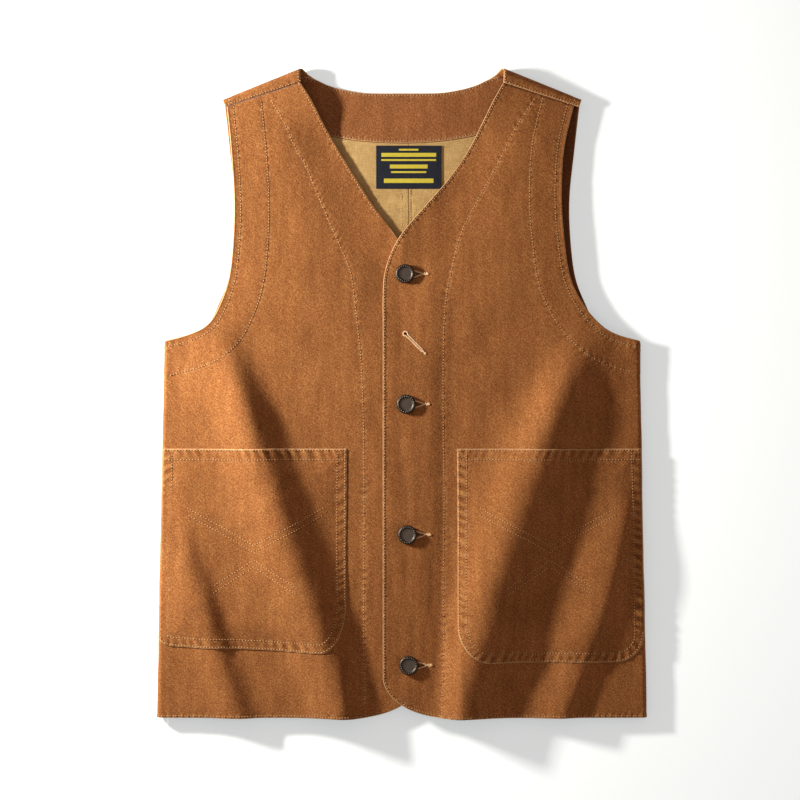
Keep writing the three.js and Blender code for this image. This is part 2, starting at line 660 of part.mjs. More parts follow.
// The back's rows end in those that wrap over the shoulder fold.
function backRows() {
  const neckTop = byShoulder(-NECK_SLANT / 2, -NECK_RADIUS);
  const tipTop = byShoulder(SHOULDER_LENGTH * ARMHOLE_END.back, -TIP_RADIUS);
  const inner = upTheMiddle(alongCurve([...NECK_CURVE, neckTop], NECK_ROWS));
  const outer = alongCurve(armholePoints('back', tipTop), UPPER_ROWS);
  const rows = halfRows(BODY_LENGTH, ARMHOLE_DROP, seamLine, inner, outer);
  const neckSeam = NECK_RADIUS * (Math.PI - 2) + SEAM_AT_NECK - SEAM_GAP / 2;
  const tipSeam = TIP_RADIUS * (Math.PI - 2) + SEAM_AT_TIP - SEAM_GAP / 2;
  for (let i = 1; i <= WRAP_ROWS; i += 1) {
    const neckPast = lerp(-NECK_RADIUS, neckSeam, i / WRAP_ROWS);
    const tipPast = lerp(-TIP_RADIUS, tipSeam, i / WRAP_ROWS);
    const along = lerp(-NECK_SLANT / 2, NECK_SLANT, i / WRAP_ROWS);
    rows.push([byShoulder(along, neckPast), byShoulder(SHOULDER_LENGTH, tipPast)]);
  }
  return rows;
}

// The back's hem curves up in its middle, where the fronts' rounded corners meet.
function hemRaised(point) {
  const near = smoothstep(point.y, BODY_LENGTH - BACK_HEM_HEIGHT, BODY_LENGTH);
  const middle = 1 - smoothstep(point.x, 0, BACK_HEM_REACH);
  return new THREE.Vector2(point.x, point.y - BACK_HEM_RISE * near * middle);
}

function backGeometry() {
  const outer = seamLine(ARMHOLE_DROP);
  const turn = SIDE_RADIUS * Math.PI / 2;
  const flat = evenSteps(0, outer - turn, BACK_CELL);
  const places = [...flat, outer - turn * 2 / 3, outer - turn / 3, outer];
  const cells = [-1, 1].flatMap((side) => {
    const grid = backRows().map(([inner, edge]) => places.map((across) => (
      backPlace(side, hemRaised(inner.clone().lerp(edge, across / outer)))
    )));
    return gridCells(grid, side < 0);
  });
  return clothGeometry(cells, SHELL_CLOTH);
}

// Levels of the plies inside the back, above the middle of its cloth
const LINING_LIFT = (SHELL_CLOTH + LINING_CLOTH) / 2 + PLY_GAP;
const LABEL_LIFT = LINING_LIFT + (LINING_CLOTH + LABEL_CLOTH) / 2 + PLY_GAP;
const FLAT_EDGE = SIDE_RADIUS * 3; // how far the inside plies stay from the side's curl
const WRAP_EDGE = -NECK_RADIUS - LINING_CLOTH; // and from the shoulder's

// The armhole's edge on the back, moved inward, from the side to just below the shoulder's wrap.
function armholeInside(inset) {
  const end = byShoulder(SHOULDER_LENGTH, WRAP_EDGE);
  const curve = new THREE.SplineCurve(armholePoints('back', end));
  return curve.getSpacedPoints(UPPER_ROWS).map((point, i) => {
    if (i === UPPER_ROWS) return byShoulder(SHOULDER_LENGTH - inset, WRAP_EDGE);
    const tangent = curve.getTangentAt(i / UPPER_ROWS);
    const moved = point.clone().add(new THREE.Vector2(tangent.y, -tangent.x).multiplyScalar(inset));
    moved.x = Math.min(moved.x, sideLine(point.y) - FLAT_EDGE);
    return moved;
  });
}

function armholeFacingGeometry(side) {
  const outer = armholeInside(PLY_GAP);
  const inner = armholeInside(ARMHOLE_FACING_WIDTH);
  const grid = inner.map((point, i) => [0, 1].map((share) => (
    backPlace(side, point.clone().lerp(outer[i], share), LINING_LIFT)
  )));
  return clothGeometry(gridCells(grid, side < 0), LINING_CLOTH);
}

// Lower edge of the neck facing, from the centre line to the shoulder.
function facingCurve(gap) {
  const foot = BACK_NECK_DROP + FACING_DEPTH + gap;
  const end = byShoulder(FACING_AT_SHOULDER + gap, WRAP_EDGE);
  return new THREE.CubicBezierCurve(
    new THREE.Vector2(0, foot),
    new THREE.Vector2(end.x * FACING_BEND.foot, foot),
    new THREE.Vector2(end.x * FACING_BEND.out, lerp(foot, end.y, FACING_BEND.up)),
    end,
  );
}

// Half of the lining: between the centre seam, the hem, the armhole facing and the neck facing.
function liningGeometry(side) {
  const seam = side * LINING_SEAM_OFFSET + PLY_GAP / 2;
  const top = facingCurve(PLY_GAP * 2).getSpacedPoints(NECK_ROWS);
  top[0].x = seam;
  const inner = upTheMiddle(top);
  const outer = armholeInside(ARMHOLE_FACING_WIDTH + PLY_GAP * 2);
  const foot = BODY_LENGTH - LINING_HEM;
  const rows = halfRows(foot, ARMHOLE_DROP, (down) => sideLine(down) - FLAT_EDGE, inner, outer);
  const grid = rows.map(([start, end]) => evenSteps(0, 1, 1 / LINING_STRIPS).map((share) => (
    backPlace(side, start.clone().lerp(end, share), LINING_LIFT)
  )));
  return clothGeometry(gridCells(grid, side < 0), LINING_CLOTH);
}

function neckFacingGeometry() {
  const neckTop = byShoulder(0, WRAP_EDGE);
  const edge = NECK_CURVE.map((point) => new THREE.Vector2(point.x, point.y + PLY_GAP));
  const upper = alongCurve([...edge, neckTop], NECK_ROWS);
  const lower = facingCurve(0).getSpacedPoints(NECK_ROWS);
  const cells = [-1, 1].flatMap((side) => {
    const grid = [0, 0.5, 1].map((share) => upper.map((point, i) => (
      backPlace(side, lower[i].clone().lerp(point, share), LINING_LIFT)
    )));
    return gridCells(grid, side < 0);
  });
  return clothGeometry(cells, LINING_CLOTH);
}

function labelGeometry() {
  const top = BACK_NECK_DROP + FACING_DEPTH + LABEL_GAP;
  const grid = evenSteps(top + LABEL_HEIGHT, top, LABEL_HEIGHT / 3).map((down) => (
    evenSteps(-LABEL_WIDTH / 2, LABEL_WIDTH / 2, LABEL_WIDTH / 4).map((across) => (
      backPlace(1, new THREE.Vector2(across + LABEL_OFFSET, down), LABEL_LIFT)
    ))
  ));
  return clothGeometry(gridCells(grid, false), LABEL_CLOTH);
}

// Finishes
const SHELL = { color: 0xb0703f, roughness: 0.9, metalness: 0 };
const FACING = { color: 0x9e643b, roughness: 0.9, metalness: 0 };
const LINING = { color: 0xc69d64, roughness: 0.85, metalness: 0 };
const LABEL = { color: 0x1b1d22, roughness: 0.7, metalness: 0 };
const BRONZE = { color: 0x4a4036, roughness: 0.45, metalness: 0.9 };

const vest = new THREE.Group();

function add(name, geometry, finish) {
  const mesh = new THREE.Mesh(geometry, new THREE.MeshStandardMaterial(finish));
  mesh.name = name;
  vest.add(mesh);
  return mesh;
}

add('back', backGeometry(), SHELL);
add('back_lining_left', liningGeometry(-1), LINING);
add('back_lining_right', liningGeometry(1), LINING);
add('back_neck_facing', neckFacingGeometry(), FACING);
add('armhole_facing_left', armholeFacingGeometry(-1), FACING);
add('armhole_facing_right', armholeFacingGeometry(1), FACING);
add('neck_label', labelGeometry(), LABEL);
add('front_left', frontGeometry(-1), SHELL);
add('front_right', frontGeometry(1), SHELL);
add('pocket_left', pocketGeometry(-1), SHELL);
add('pocket_right', pocketGeometry(1), SHELL);
for (let i = 0; i < BUTTON_COUNT; i += 1) {
  const button = add(`button_${i + 1}`, buttonGeometry(), BRONZE);
  placketMatrix(buttonPoint(i), 0).decompose(button.position, button.quaternion, button.scale);
}

export default vest;
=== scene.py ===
"""A canvas work vest, dressed round its packed solids.

Lengths of the cut cloth are in millimetres, as "across", outward from the centre line, and "down",
below the shoulder tops. Finished pieces are in metres, in the solids' frame: X to the viewer's
right, Y towards the neck and Z up.
"""

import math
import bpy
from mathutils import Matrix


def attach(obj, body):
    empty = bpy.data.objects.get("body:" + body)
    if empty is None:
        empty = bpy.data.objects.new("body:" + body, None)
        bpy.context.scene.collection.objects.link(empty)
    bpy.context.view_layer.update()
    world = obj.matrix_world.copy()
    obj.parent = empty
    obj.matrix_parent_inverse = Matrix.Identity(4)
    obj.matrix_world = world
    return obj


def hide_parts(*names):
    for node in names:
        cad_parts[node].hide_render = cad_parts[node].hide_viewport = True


bl_info = {
    "name": "Canvas work vest",
    "version": (1, 0, 0),
    "blender": (4, 5, 0),
    "location": "View3D > Sidebar > Vest",
    "description": "Dresses the vest with canvas, facings, lining, pockets, buttons and stitching",
    "category": "Object",
}

from functools import lru_cache

import bpy
import numpy as np
from mathutils import Matrix, Vector
from mathutils.kdtree import KDTree

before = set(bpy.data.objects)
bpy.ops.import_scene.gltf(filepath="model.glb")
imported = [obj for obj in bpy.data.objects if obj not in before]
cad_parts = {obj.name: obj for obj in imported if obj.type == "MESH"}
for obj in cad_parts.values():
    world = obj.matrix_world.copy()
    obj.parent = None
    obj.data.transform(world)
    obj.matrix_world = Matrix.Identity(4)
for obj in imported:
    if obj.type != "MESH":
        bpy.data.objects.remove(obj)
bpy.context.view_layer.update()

MM = 0.001

# Outline of the body, as the solids have it
BODY_LENGTH = 676.0
CHEST_WIDTH = 496.0
HEM_WIDTH = 510.0
SHOULDER_SPAN = 374.0
SHOULDER_DROP = 33.0
NECK_WIDTH = 208.0
BACK_NECK_DROP = 25.0
ARMHOLE_DROP = 284.0
ARMHOLE_INSET = 73.0
FRONT_EDGE_DROP = 241.0
FRONT_OVERLAP = 40.0
CUTAWAY_WIDTH = 70.0
CUTAWAY_HEIGHT = 43.0
BACK_HEM_RISE = 16.0
BACK_HEM_REACH = 90.0
BACK_HEM_HEIGHT = 80.0
SEAM_AT_NECK = 14.0
SEAM_AT_TIP = 8.0

# Heights above the surface
BODY_HEIGHT = 9.8
SIDE_HEIGHT = 8.8
SIDE_FALL = 70.0
SIDE_SHELF = 20.0
SHOULDER_HEIGHT = 16.0
TIP_HEIGHT = 9.5
CHEST_BELOW_FOLD = 170.0
NECK_EDGE_HEIGHT = 5.6
NECK_EDGE_REACH = 38.0
NECK_SINK_TOP = 30.0
NECK_SINK_LOW = 85.0
NECK_SINK_END = 320.0
FOLD_HEIGHT = 18.0
STIFF_PLACKET = 24.0
STIFF_REACH = 64.0

# Cloth
SHELL_CLOTH = 1.4
POCKET_CLOTH = 1.2
LINING_CLOTH = 1.0
LABEL_CLOTH = 1.0
PLY_GAP = 0.3
SEAM_GAP = 0.1  # the solids keep 0.8, which would let light through
OVERLAP_GAP = 0.6

# Inside of the back
FACING_DEPTH = 52.0
FACING_AT_SHOULDER = 50.0
ARMHOLE_FACING_WIDTH = 25.0
LINING_HEM = 20.0
LINING_SEAM_OFFSET = 7.0
LABEL_WIDTH = 68.0
LABEL_HEIGHT = 45.0
LABEL_GAP = 3.0
LABEL_OFFSET = 7.0
FACING_BEND = {"foot": 0.42, "out": 0.85, "up": 0.25}

# Pockets
POCKET_MOUTH_DROP = 396.0
POCKET_FOOT_RISE = 61.0
POCKET_SKEW = 3.0
POCKET_TILT = 11.0
POCKET_INSET = 57.0
POCKET_SIDE_GAP = 3.0
POCKET_GAP = 1.0
POCKET_EASE = 0.8
POCKET_EASE_WIDTH = 30.0
POCKET_CORNERS = {
    -1: {"inner": (26.0, 56.0), "outer": (16.0, 8.0)},
    1: {"inner": (32.0, 40.0), "outer": (30.0, 30.0)},
}

# Buttons
BUTTON_COUNT = 4
BUTTON_DIAMETER = 20.0
BUTTON_HEIGHT = 4.2
BUTTON_TOP_RISE = 27.0
BUTTON_FOOT_RISE = 55.0
BUTTON_OFFSET = 3.0
BUTTON_DRIFT = 4.0
POST_DIAMETER = 4.0
TACK_DIAMETER = 9.0
TACK_THICKNESS = 1.0
WATCH_HOLE_PLACE = 0.46

# The main folds of the fronts. Top is a share of the body's length; start, middle and end, where the
# crest is, and left and right, the widths of the flanks, are shares of half the chest.
FOLD_WORDS = ("top", "start", "middle", "end", "rise", "left", "right")
FOLDS = [dict(zip(FOLD_WORDS, values)) for values in (
    (0.41, -0.755, -0.5, -0.22, 0.9, 0.135, 0.105),
    (0.7, -0.93, -0.82, -0.68, 0.46, 0.1, 0.06),
    (0.41, 0.76, 0.465, 0.225, 1.0, 0.127, 0.15),
    (0.64, 0.95, 0.84, 0.665, 0.38, 0.11, 0.055),
)]
FOLD_GROWTH = {"above": 0.04, "below": 0.14, "width": 0.72, "over": 0.4}

# The armhole's edge from the underarm up: a share of its height, then shares of its inset for the
# left front, the right front and the back.
ARMHOLE = (
    (0.03, 0.36, 0.34, 0.37),
    (0.073, 0.63, 0.57, 0.62),
    (0.158, 0.8, 0.81, 0.77),
    (0.278, 0.93, 1.0, 0.92),
    (0.449, 0.99, 1.085, 0.99),
    (0.62, 1.0, 1.12, 1.0),
    (0.825, 0.957, 1.085, 0.93),
)
ARMHOLE_COLUMN = {-1: 1, 1: 2, 0: 3}
ARMHOLE_END = {-1: 0.98, 1: 0.94, 0: 1.0}

# The neckline: a share of its height, then shares of the way out for the left and right front.
NECKLINE = (
    (0.0, 0.0, 0.0),
    (0.115, 0.04, 0.012),
    (0.221, 0.123, 0.07),
    (0.318, 0.238, 0.172),
    (0.438, 0.4, 0.357),
    (0.562, 0.54, 0.55),
    (0.687, 0.68, 0.705),
    (0.806, 0.803, 0.816),
    (0.92, 0.91, 0.918),
)

# The back neck: shares of half the neck's width and of its drop.
BACK_NECK = ((0.0, 1.0), (0.35, 0.99), (0.55, 0.88), (0.72, 0.7), (0.86, 0.44))

# Where the front facing is stitched down, as (across, down) from the shoulder to the hem
FACING_LINE = {
    -1: ((147, 15), (134, 37), (124, 54), (110, 85), (100, 102), (88, 131), (76, 159), (60, 195), (53, 214),
         (49, 245), (43, 298), (40.5, 349), (39.5, 410), (39.5, 518), (40, 600), (38.5, 677)),
    1: ((153, 10), (134, 38), (115, 68), (100, 99), (84, 128), (72, 150), (61, 173), (54, 200), (47, 232),
        (44, 262), (43, 298), (43, 375), (44, 444), (43, 536), (43, 604), (40.5, 677)),
}

# How the right front's free edge stands up, and where it meets the front below it
PLACKET_RISE = {"top": 1.8, "hem": 2.6, "sink": 1.4}
PLACKET_END = 42.0

# Nearer the centre line than this, the left front lies under the right one
HIDDEN_FROM = 24.0

# How far in from the armhole's edge its facing is stitched down
ARMHOLE_STITCH = {-1: 36.5, 1: 33.5}

SIDES = (-1, 1)
SIDE_NAME = {-1: "left", 1: "right"}

# Distance between the points of a line of stitches, and the width over which an edge is round
LINE_STEP = 1.5
ROUND_REACH = 0.9


def lerp(a, b, share):
    return a + (b - a) * share


def smooth(x, low, high):
    t = np.clip((np.asarray(x, float) - low) / (high - low), 0, 1)
    return t * t * (3 - 2 * t)


def bell(distance, reach):
    return np.exp(-((np.asarray(distance, float) / reach) ** 2))


def pair(across, down):
    return np.stack(np.broadcast_arrays(np.asarray(across, float), np.asarray(down, float)), -1)


def wander(x, y, reach, seed):
    """A smooth random height between -1 and 1 that changes over about a given length."""
    cells = 64
    table = np.random.default_rng(seed).uniform(-1, 1, (cells, cells))
    u = np.asarray(x, float) / reach + 31.3
    v = np.asarray(y, float) / reach + 29.7
    i, j = np.floor(u).astype(int), np.floor(v).astype(int)
    s, t = smooth(u - i, 0, 1), smooth(v - j, 0, 1)
    i, j, i2, j2 = i % cells, j % cells, (i + 1) % cells, (j + 1) % cells
    return lerp(lerp(table[i, j], table[i2, j], s), lerp(table[i, j2], table[i2, j2], s), t)


def evened(line, count):
    """A line's points again, evenly spaced."""
    line = np.asarray(line, float)
    steps = np.linalg.norm(np.diff(line, axis=0), axis=1)
    along = np.concatenate([[0], np.cumsum(steps)])
    wanted = np.linspace(0, along[-1], count + 1)
    return np.stack([np.interp(wanted, along, line[:, k]) for k in range(line.shape[1])], 1)


def length_of(line):
    return float(np.linalg.norm(np.diff(np.asarray(line, float), axis=0), axis=1).sum())


def spaced(line, pitch):
    return evened(line, max(1, round(length_of(line) / pitch)))


def spline(points, count):
    """Evenly spaced points along the smooth curve through the given ones."""
    points = np.asarray(points, float)
    last = len(points) - 1
    places = [points[:1]]
    for i in range(last):
        p0, p1, p2, p3 = (points[min(max(i + k, 0), last)] for k in (-1, 0, 1, 2))
        t = np.linspace(0, 1, 41)[1:, None]
        v0, v1 = (p2 - p0) / 2, (p3 - p1) / 2
        cubic = (2 * p1 - 2 * p2 + v0 + v1) * t ** 3 + (-3 * p1 + 3 * p2 - 2 * v0 - v1) * t ** 2
        places.append(cubic + v0 * t + p1)
    return evened(np.vstack(places), count)


def moved_in(line, distance):
    """A line moved sideways, to its right where it runs up the viewer's right side of the cloth."""
    line = np.asarray(line, float)
    tangent = np.gradient(line, axis=0)
    tangent /= np.linalg.norm(tangent, axis=1, keepdims=True)
    return line + np.stack([-tangent[:, 1], tangent[:, 0]], 1) * distance


def inset(line, distance):
    """A line of stitches at a distance from an edge."""
    return moved_in(spaced(line, LINE_STEP), distance)


def between(inner, outer, shares):
    """A grid of points from one line to another."""
    return lerp(inner[:, None], outer[:, None], shares[None, :, None])


def ring_of(cut):
    """The rim of a grid, without its first point again at the end."""
    return np.vstack([cut[0], cut[1:, -1], cut[-1, ::-1][1:], cut[::-1, 0][1:]])


def runs(line, kept):
    """The stretches of a line whose points are kept."""
    ends = np.flatnonzero(np.diff(np.concatenate([[False], kept, [False]]).astype(int)))
    return [line[a:b] for a, b in zip(ends[::2], ends[1::2]) if b - a > 3]


# Places of a grid's points near an edge, and where the cloth rolls round the side
EDGE_STEPS = np.array([0, 0.3, 0.7, 1.2, 1.9, 2.8, 4.0])
SIDE_STEPS = np.arange(0, 10, 0.9)


def graded(length, pitch, near=EDGE_STEPS, far=EDGE_STEPS):
    """Places from 0 to a length, close together at both ends."""
    count = max(2, round((length - near[-1] - far[-1]) / pitch) + 1)
    middle = np.linspace(near[-1], length - far[-1], count)
    return np.concatenate([near[:-1], middle, length - far[:-1][::-1]])


# Where the cloth lies

FLOOR_PLY = SHELL_CLOTH / 2
CHEST_LEVEL = BODY_HEIGHT - SHELL_CLOTH / 2
SIDE_LEVEL = SIDE_HEIGHT - SHELL_CLOTH / 2
NECK_EDGE_LEVEL = NECK_EDGE_HEIGHT - SHELL_CLOTH / 2
SIDE_RADIUS = (SIDE_LEVEL - FLOOR_PLY) / 2
NECK_RADIUS = (SHOULDER_HEIGHT - SHELL_CLOTH) / 2
TIP_RADIUS = (TIP_HEIGHT - SHELL_CLOTH) / 2
OVERLAP_LIFT = SHELL_CLOTH + OVERLAP_GAP
LIFT_FROM = FRONT_OVERLAP * 0.65
LIFT_TO = FRONT_OVERLAP * 1.4
HALF_CHEST = CHEST_WIDTH / 2
FOLD_START = np.array([NECK_WIDTH / 2, 0.0])
FOLD_END = np.array([SHOULDER_SPAN / 2, SHOULDER_DROP])
SHOULDER_LENGTH = float(np.linalg.norm(FOLD_END - FOLD_START))
FOLD_ALONG = (FOLD_END - FOLD_START) / SHOULDER_LENGTH
FOLD_OUT = np.array([FOLD_ALONG[1], -FOLD_ALONG[0]])
NECK_SLANT = SEAM_AT_NECK / 2
LINING_LIFT = (SHELL_CLOTH + LINING_CLOTH) / 2 + PLY_GAP
LABEL_LIFT = LINING_LIFT + (LINING_CLOTH + LABEL_CLOTH) / 2 + PLY_GAP
FLAT_EDGE = SIDE_RADIUS * 3
WRAP_EDGE = -NECK_RADIUS - LINING_CLOTH


def by_shoulder(along, past):
    """Cut points by how far they are along the shoulder's fold and past it."""
    return FOLD_START + np.multiply.outer(along, FOLD_ALONG) + np.multiply.outer(past, FOLD_OUT)


def past_shoulder(cut):
    return (cut - FOLD_START) @ FOLD_OUT


def along_shoulder(cut):
    return (cut - FOLD_START) @ FOLD_ALONG


def shoulder_radius(along):
    return lerp(NECK_RADIUS, TIP_RADIUS, np.clip(along / SHOULDER_LENGTH, 0, 1))


def side_line(down):
    share = np.clip((np.asarray(down, float) - ARMHOLE_DROP) / (BODY_LENGTH - ARMHOLE_DROP), 0, 1)
    return lerp(CHEST_WIDTH, HEM_WIDTH, share) / 2 - SHELL_CLOTH / 2


def seam_line(down):
    """How far out the cut cloth reaches: past the side's fold, round to the seam."""
    return side_line(down) + SIDE_RADIUS * (math.pi / 2 - 1) - SEAM_GAP / 2


def outer_line(down):
    return side_line(down) - ARMHOLE_INSET * smooth(ARMHOLE_DROP - down, 0, ARMHOLE_INSET)


def fold_rise(x, down):
    rise = 0
    for fold in FOLDS:
        t = np.clip((down / BODY_LENGTH - fold["top"]) / (1 - fold["top"]), 0, 1)
        bend = (1 - t) * (1 - 2 * t) * fold["start"] + 4 * t * (1 - t) * fold["middle"]
        crest = (bend + t * (2 * t - 1) * fold["end"]) * HALF_CHEST
        spread = lerp(FOLD_GROWTH["width"], 1, smooth(t, 0, FOLD_GROWTH["over"]))
        reach = np.where(x < crest, fold["left"], fold["right"]) * HALF_CHEST * spread
        low, high = fold["top"] - FOLD_GROWTH["above"], fold["top"] + FOLD_GROWTH["below"]
        grown = smooth(down / BODY_LENGTH, low, high)
        rise = rise + grown * fold["rise"] * FOLD_HEIGHT * bell(x - crest, reach)
    return rise * smooth(abs(x), STIFF_PLACKET, STIFF_REACH)


def front_level(x, down):
    cut = pair(abs(x), down)
    shoulder = FLOOR_PLY + 2 * shoulder_radius(along_shoulder(cut))
    inward = smooth(outer_line(down) - abs(x), -SIDE_SHELF, SIDE_FALL - SIDE_SHELF)
    body = lerp(SIDE_LEVEL, CHEST_LEVEL, inward)
    settled = smooth(-past_shoulder(cut), SEAM_AT_NECK, CHEST_BELOW_FOLD)
    from_neck = abs(x) * FRONT_EDGE_DROP + (down - FRONT_EDGE_DROP) * NECK_WIDTH / 2
    from_neck = from_neck / math.hypot(NECK_WIDTH / 2, FRONT_EDGE_DROP)
    low = smooth(down, NECK_SINK_TOP, NECK_SINK_LOW)
    low = low * (1 - smooth(down, FRONT_EDGE_DROP - NECK_EDGE_REACH, NECK_SINK_END))
    sunk = low * bell(from_neck, NECK_EDGE_REACH)
    return lerp(lerp(shoulder, body, settled), NECK_EDGE_LEVEL, sunk) + fold_rise(x, down)


def rolled(cut):
    """How far cloth has turned round the side, and how far out it is then."""
    edge = side_line(cut[..., 1])
    angle = np.clip((cut[..., 0] - (edge - SIDE_RADIUS)) / SIDE_RADIUS, 0, math.pi)
    across = np.where(angle > 0, edge - SIDE_RADIUS + SIDE_RADIUS * np.sin(angle), cut[..., 0])
    return angle, across


def front_place(side, cut, lift=0.0):
    angle, across = rolled(cut)
    if side > 0:
        lift = lift + OVERLAP_LIFT * (1 - smooth(cut[..., 0], LIFT_FROM, LIFT_TO))
    middle = FLOOR_PLY + SIDE_RADIUS
    level = front_level(side * across, cut[..., 1]) + lift
    z = middle + (level - middle) * np.cos(angle)
    return np.stack([side * across, BODY_LENGTH / 2 - cut[..., 1], z], -1)


def back_place(side, cut, lift=0.0):
    along = along_shoulder(cut)
    radius = shoulder_radius(along)
    wrapped = past_shoulder(cut) + radius
    turned = np.clip(wrapped / radius, 0, math.pi)
    beyond = np.maximum(wrapped - math.pi * radius, 0)
    over = radius * (np.sin(turned) - 1) - beyond
    round_fold = FOLD_START + along[..., None] * FOLD_ALONG + over[..., None] * FOLD_OUT
    angle, across = rolled(cut)
    is_wrapped = wrapped > 0
    x = np.where(is_wrapped, round_fold[..., 0], across)
    down = np.where(is_wrapped, round_fold[..., 1], cut[..., 1])
    z = np.where(is_wrapped, radius * (1 - np.cos(turned)), SIDE_RADIUS * (1 - np.cos(angle)))
    return np.stack([side * x, BODY_LENGTH / 2 - down, FLOOR_PLY + z + lift], -1)


def laid(place, side, cut, lift=0.0):
    """Places of cut points and the direction out of the cloth there."""
    step = 0.6
    right = place(side, cut + (step, 0), lift) - place(side, cut - (step, 0), lift)
    up = place(side, cut - (0, step), lift) - place(side, cut + (0, step), lift)
    normal = np.cross(right, up) * side
    normal /= np.maximum(np.linalg.norm(normal, axis=-1, keepdims=True), 1e-9)
    return place(side, cut, lift), normal


# The outlines of the cut pieces

def armhole_points(side, end):
    column = ARMHOLE_COLUMN[side]
    points = [(HALF_CHEST - row[column] * ARMHOLE_INSET,
               lerp(ARMHOLE_DROP, SHOULDER_DROP + SEAM_AT_TIP, row[0])) for row in ARMHOLE]
    return np.array([(seam_line(ARMHOLE_DROP), ARMHOLE_DROP), *points, end])


def neckline_points(side, end):
    column = 1 if side < 0 else 2
    points = [(lerp(-FRONT_OVERLAP / 2, end[0], row[column]),
               lerp(FRONT_EDGE_DROP, end[1], row[0])) for row in NECKLINE]
    return np.array([*points, end])


def front_edge(down):
    left = np.clip(1 - (BODY_LENGTH - down) / CUTAWAY_HEIGHT, 0, 1)
    return -FRONT_OVERLAP / 2 + CUTAWAY_WIDTH * (1 - np.sqrt(1 - left * left))


def pocket_foot(side):
    return BODY_LENGTH - POCKET_FOOT_RISE + side * POCKET_SKEW


def row_tilt(side, down):
    foot = pocket_foot(side)
    below = (BODY_LENGTH - down) / (BODY_LENGTH - foot)
    above = (down - POCKET_MOUTH_DROP) / (foot - POCKET_MOUTH_DROP)
    return POCKET_TILT * np.clip(np.minimum(below, above), 0, 1) * (side < 0)


def front_row(side, down):
    """The inner and outer ends of the rows of a front below the underarm."""
    outer_down = down - row_tilt(side, down)
    return pair(front_edge(down), down), pair(seam_line(outer_down), outer_down)


def front_cut(side, pitch):
    """A grid over a front, from the hem to the shoulder seam and from its edge to the side."""
    far = np.array([0, pitch])
    lower = BODY_LENGTH - graded(BODY_LENGTH - ARMHOLE_DROP, pitch, far=far)
    inner, outer = front_row(side, lower)
    neck_end = by_shoulder(NECK_SLANT, -SEAM_AT_NECK - SEAM_GAP / 2)
    tip_end = by_shoulder(SHOULDER_LENGTH * ARMHOLE_END[side], -SEAM_AT_TIP - SEAM_GAP / 2)
    edge = -FRONT_OVERLAP / 2
    straight = [(edge, ARMHOLE_DROP), (edge, (ARMHOLE_DROP + FRONT_EDGE_DROP) / 2)]
    armhole = armhole_points(side, tip_end)
    count = round(length_of(armhole) / pitch)
    inner_top = spline([*straight, *neckline_points(side, neck_end)], count)
    outer_top = spline(armhole, count)
    inner = np.vstack([inner, inner_top[1:]])
    outer = np.vstack([outer, outer_top[1:]])
    width = seam_line(ARMHOLE_DROP) - edge
    shares = graded(width, pitch, far=SIDE_STEPS) / width
    return between(inner, outer, shares), len(lower)


# Seams

class Lines:
    """Lines on the cut cloth: how far a point is from the nearest, and how far along that one."""

    STEP = 0.5
    APART = 37  # between the ends of lines, so that their puckers differ

    def __init__(self, lines):
        lines = [spaced(line, self.STEP) for line in lines]
        self.points = np.vstack(lines)
        starts = np.cumsum([0] + [len(line) * self.STEP + self.APART for line in lines[:-1]])
        self.along = np.concatenate([start + np.arange(len(line)) * self.STEP
                                     for start, line in zip(starts, lines)])
        self.tree = KDTree(len(self.points))
        for i, (across, down) in enumerate(self.points):
            self.tree.insert((across, down, 0), i)
        self.tree.balance()

    def away(self, cut):
        return self.near(cut)[0]

    def near(self, cut):
        flat = cut.reshape(-1, 2)
        found = [self.tree.find((across, down, 0)) for across, down in flat]
        distance = np.array([item[2] for item in found]).reshape(cut.shape[:-1])
        along = self.along[[item[1] for item in found]].reshape(cut.shape[:-1])
        return distance, along


def rope(along, pitch, seed):
    """The uneven rise and fall of cloth that a seam has drawn in."""
    phase = along / pitch + 0.9 * wander(along, 0, pitch * 3, seed)
    strength = 0.65 + 0.5 * wander(along, 9, pitch * 4, seed + 1)
    return np.sin(2 * math.pi * phase) * strength


def rounded(from_edge, half):
    """Half the cloth's thickness at a distance from its edge, which is round."""
    cut = 1 - np.clip(from_edge / ROUND_REACH, 0, 1)
    return half * np.sqrt(np.maximum(1 - cut * cut, 0))


def off_edge(from_edge):
    """0 at the edge itself and 1 where the cloth has its full thickness."""
    return smooth(from_edge, 0, ROUND_REACH)


def ease(x, down):
    """Soft unevenness of canvas that lies loose."""
    broad = 0.55 * wander(x, down * 0.6, 46, 11) + 0.22 * wander(x, down, 19, 12)
    return broad + 0.06 * wander(x, down, 8, 13)


# How far round its middle a button presses the placket down
BUTTON_PRESS = 13.0

# How deep the seams shape the cloth of a front: its puckers, the grooves of the stitches, the plies
# turned under it, and its rolled edge. Pitch and reach are the length and width of the puckers.
FRONT_RELIEF = {"pucker": 0.42, "pitch": 6.5, "reach": 4.5, "groove": 0.17, "plies": 0.4, "armhole": 0.6,
                "roll": 0.33, "edge": 0.12, "ridges": 0.4, "wrinkle": 0.42}
POCKET_RELIEF = {"pucker": 0.62, "pitch": 9.5, "small": 0.18, "groove": 0.22, "quilting": 0.1, "plies": 0.3,
                 "side": 0.7, "roll": 0.12, "loose": 0.3}

# Where an edge of a ply below shows as a step, and where the left front comes out from the placket
PLY_STEP = (-1.2, 1.0)
UNDER_PLACKET = (12, 26)

# Nearer the neck than this, the shoulder seam is as deep as at the neck
SHOULDER_HALFWAY = 145.0


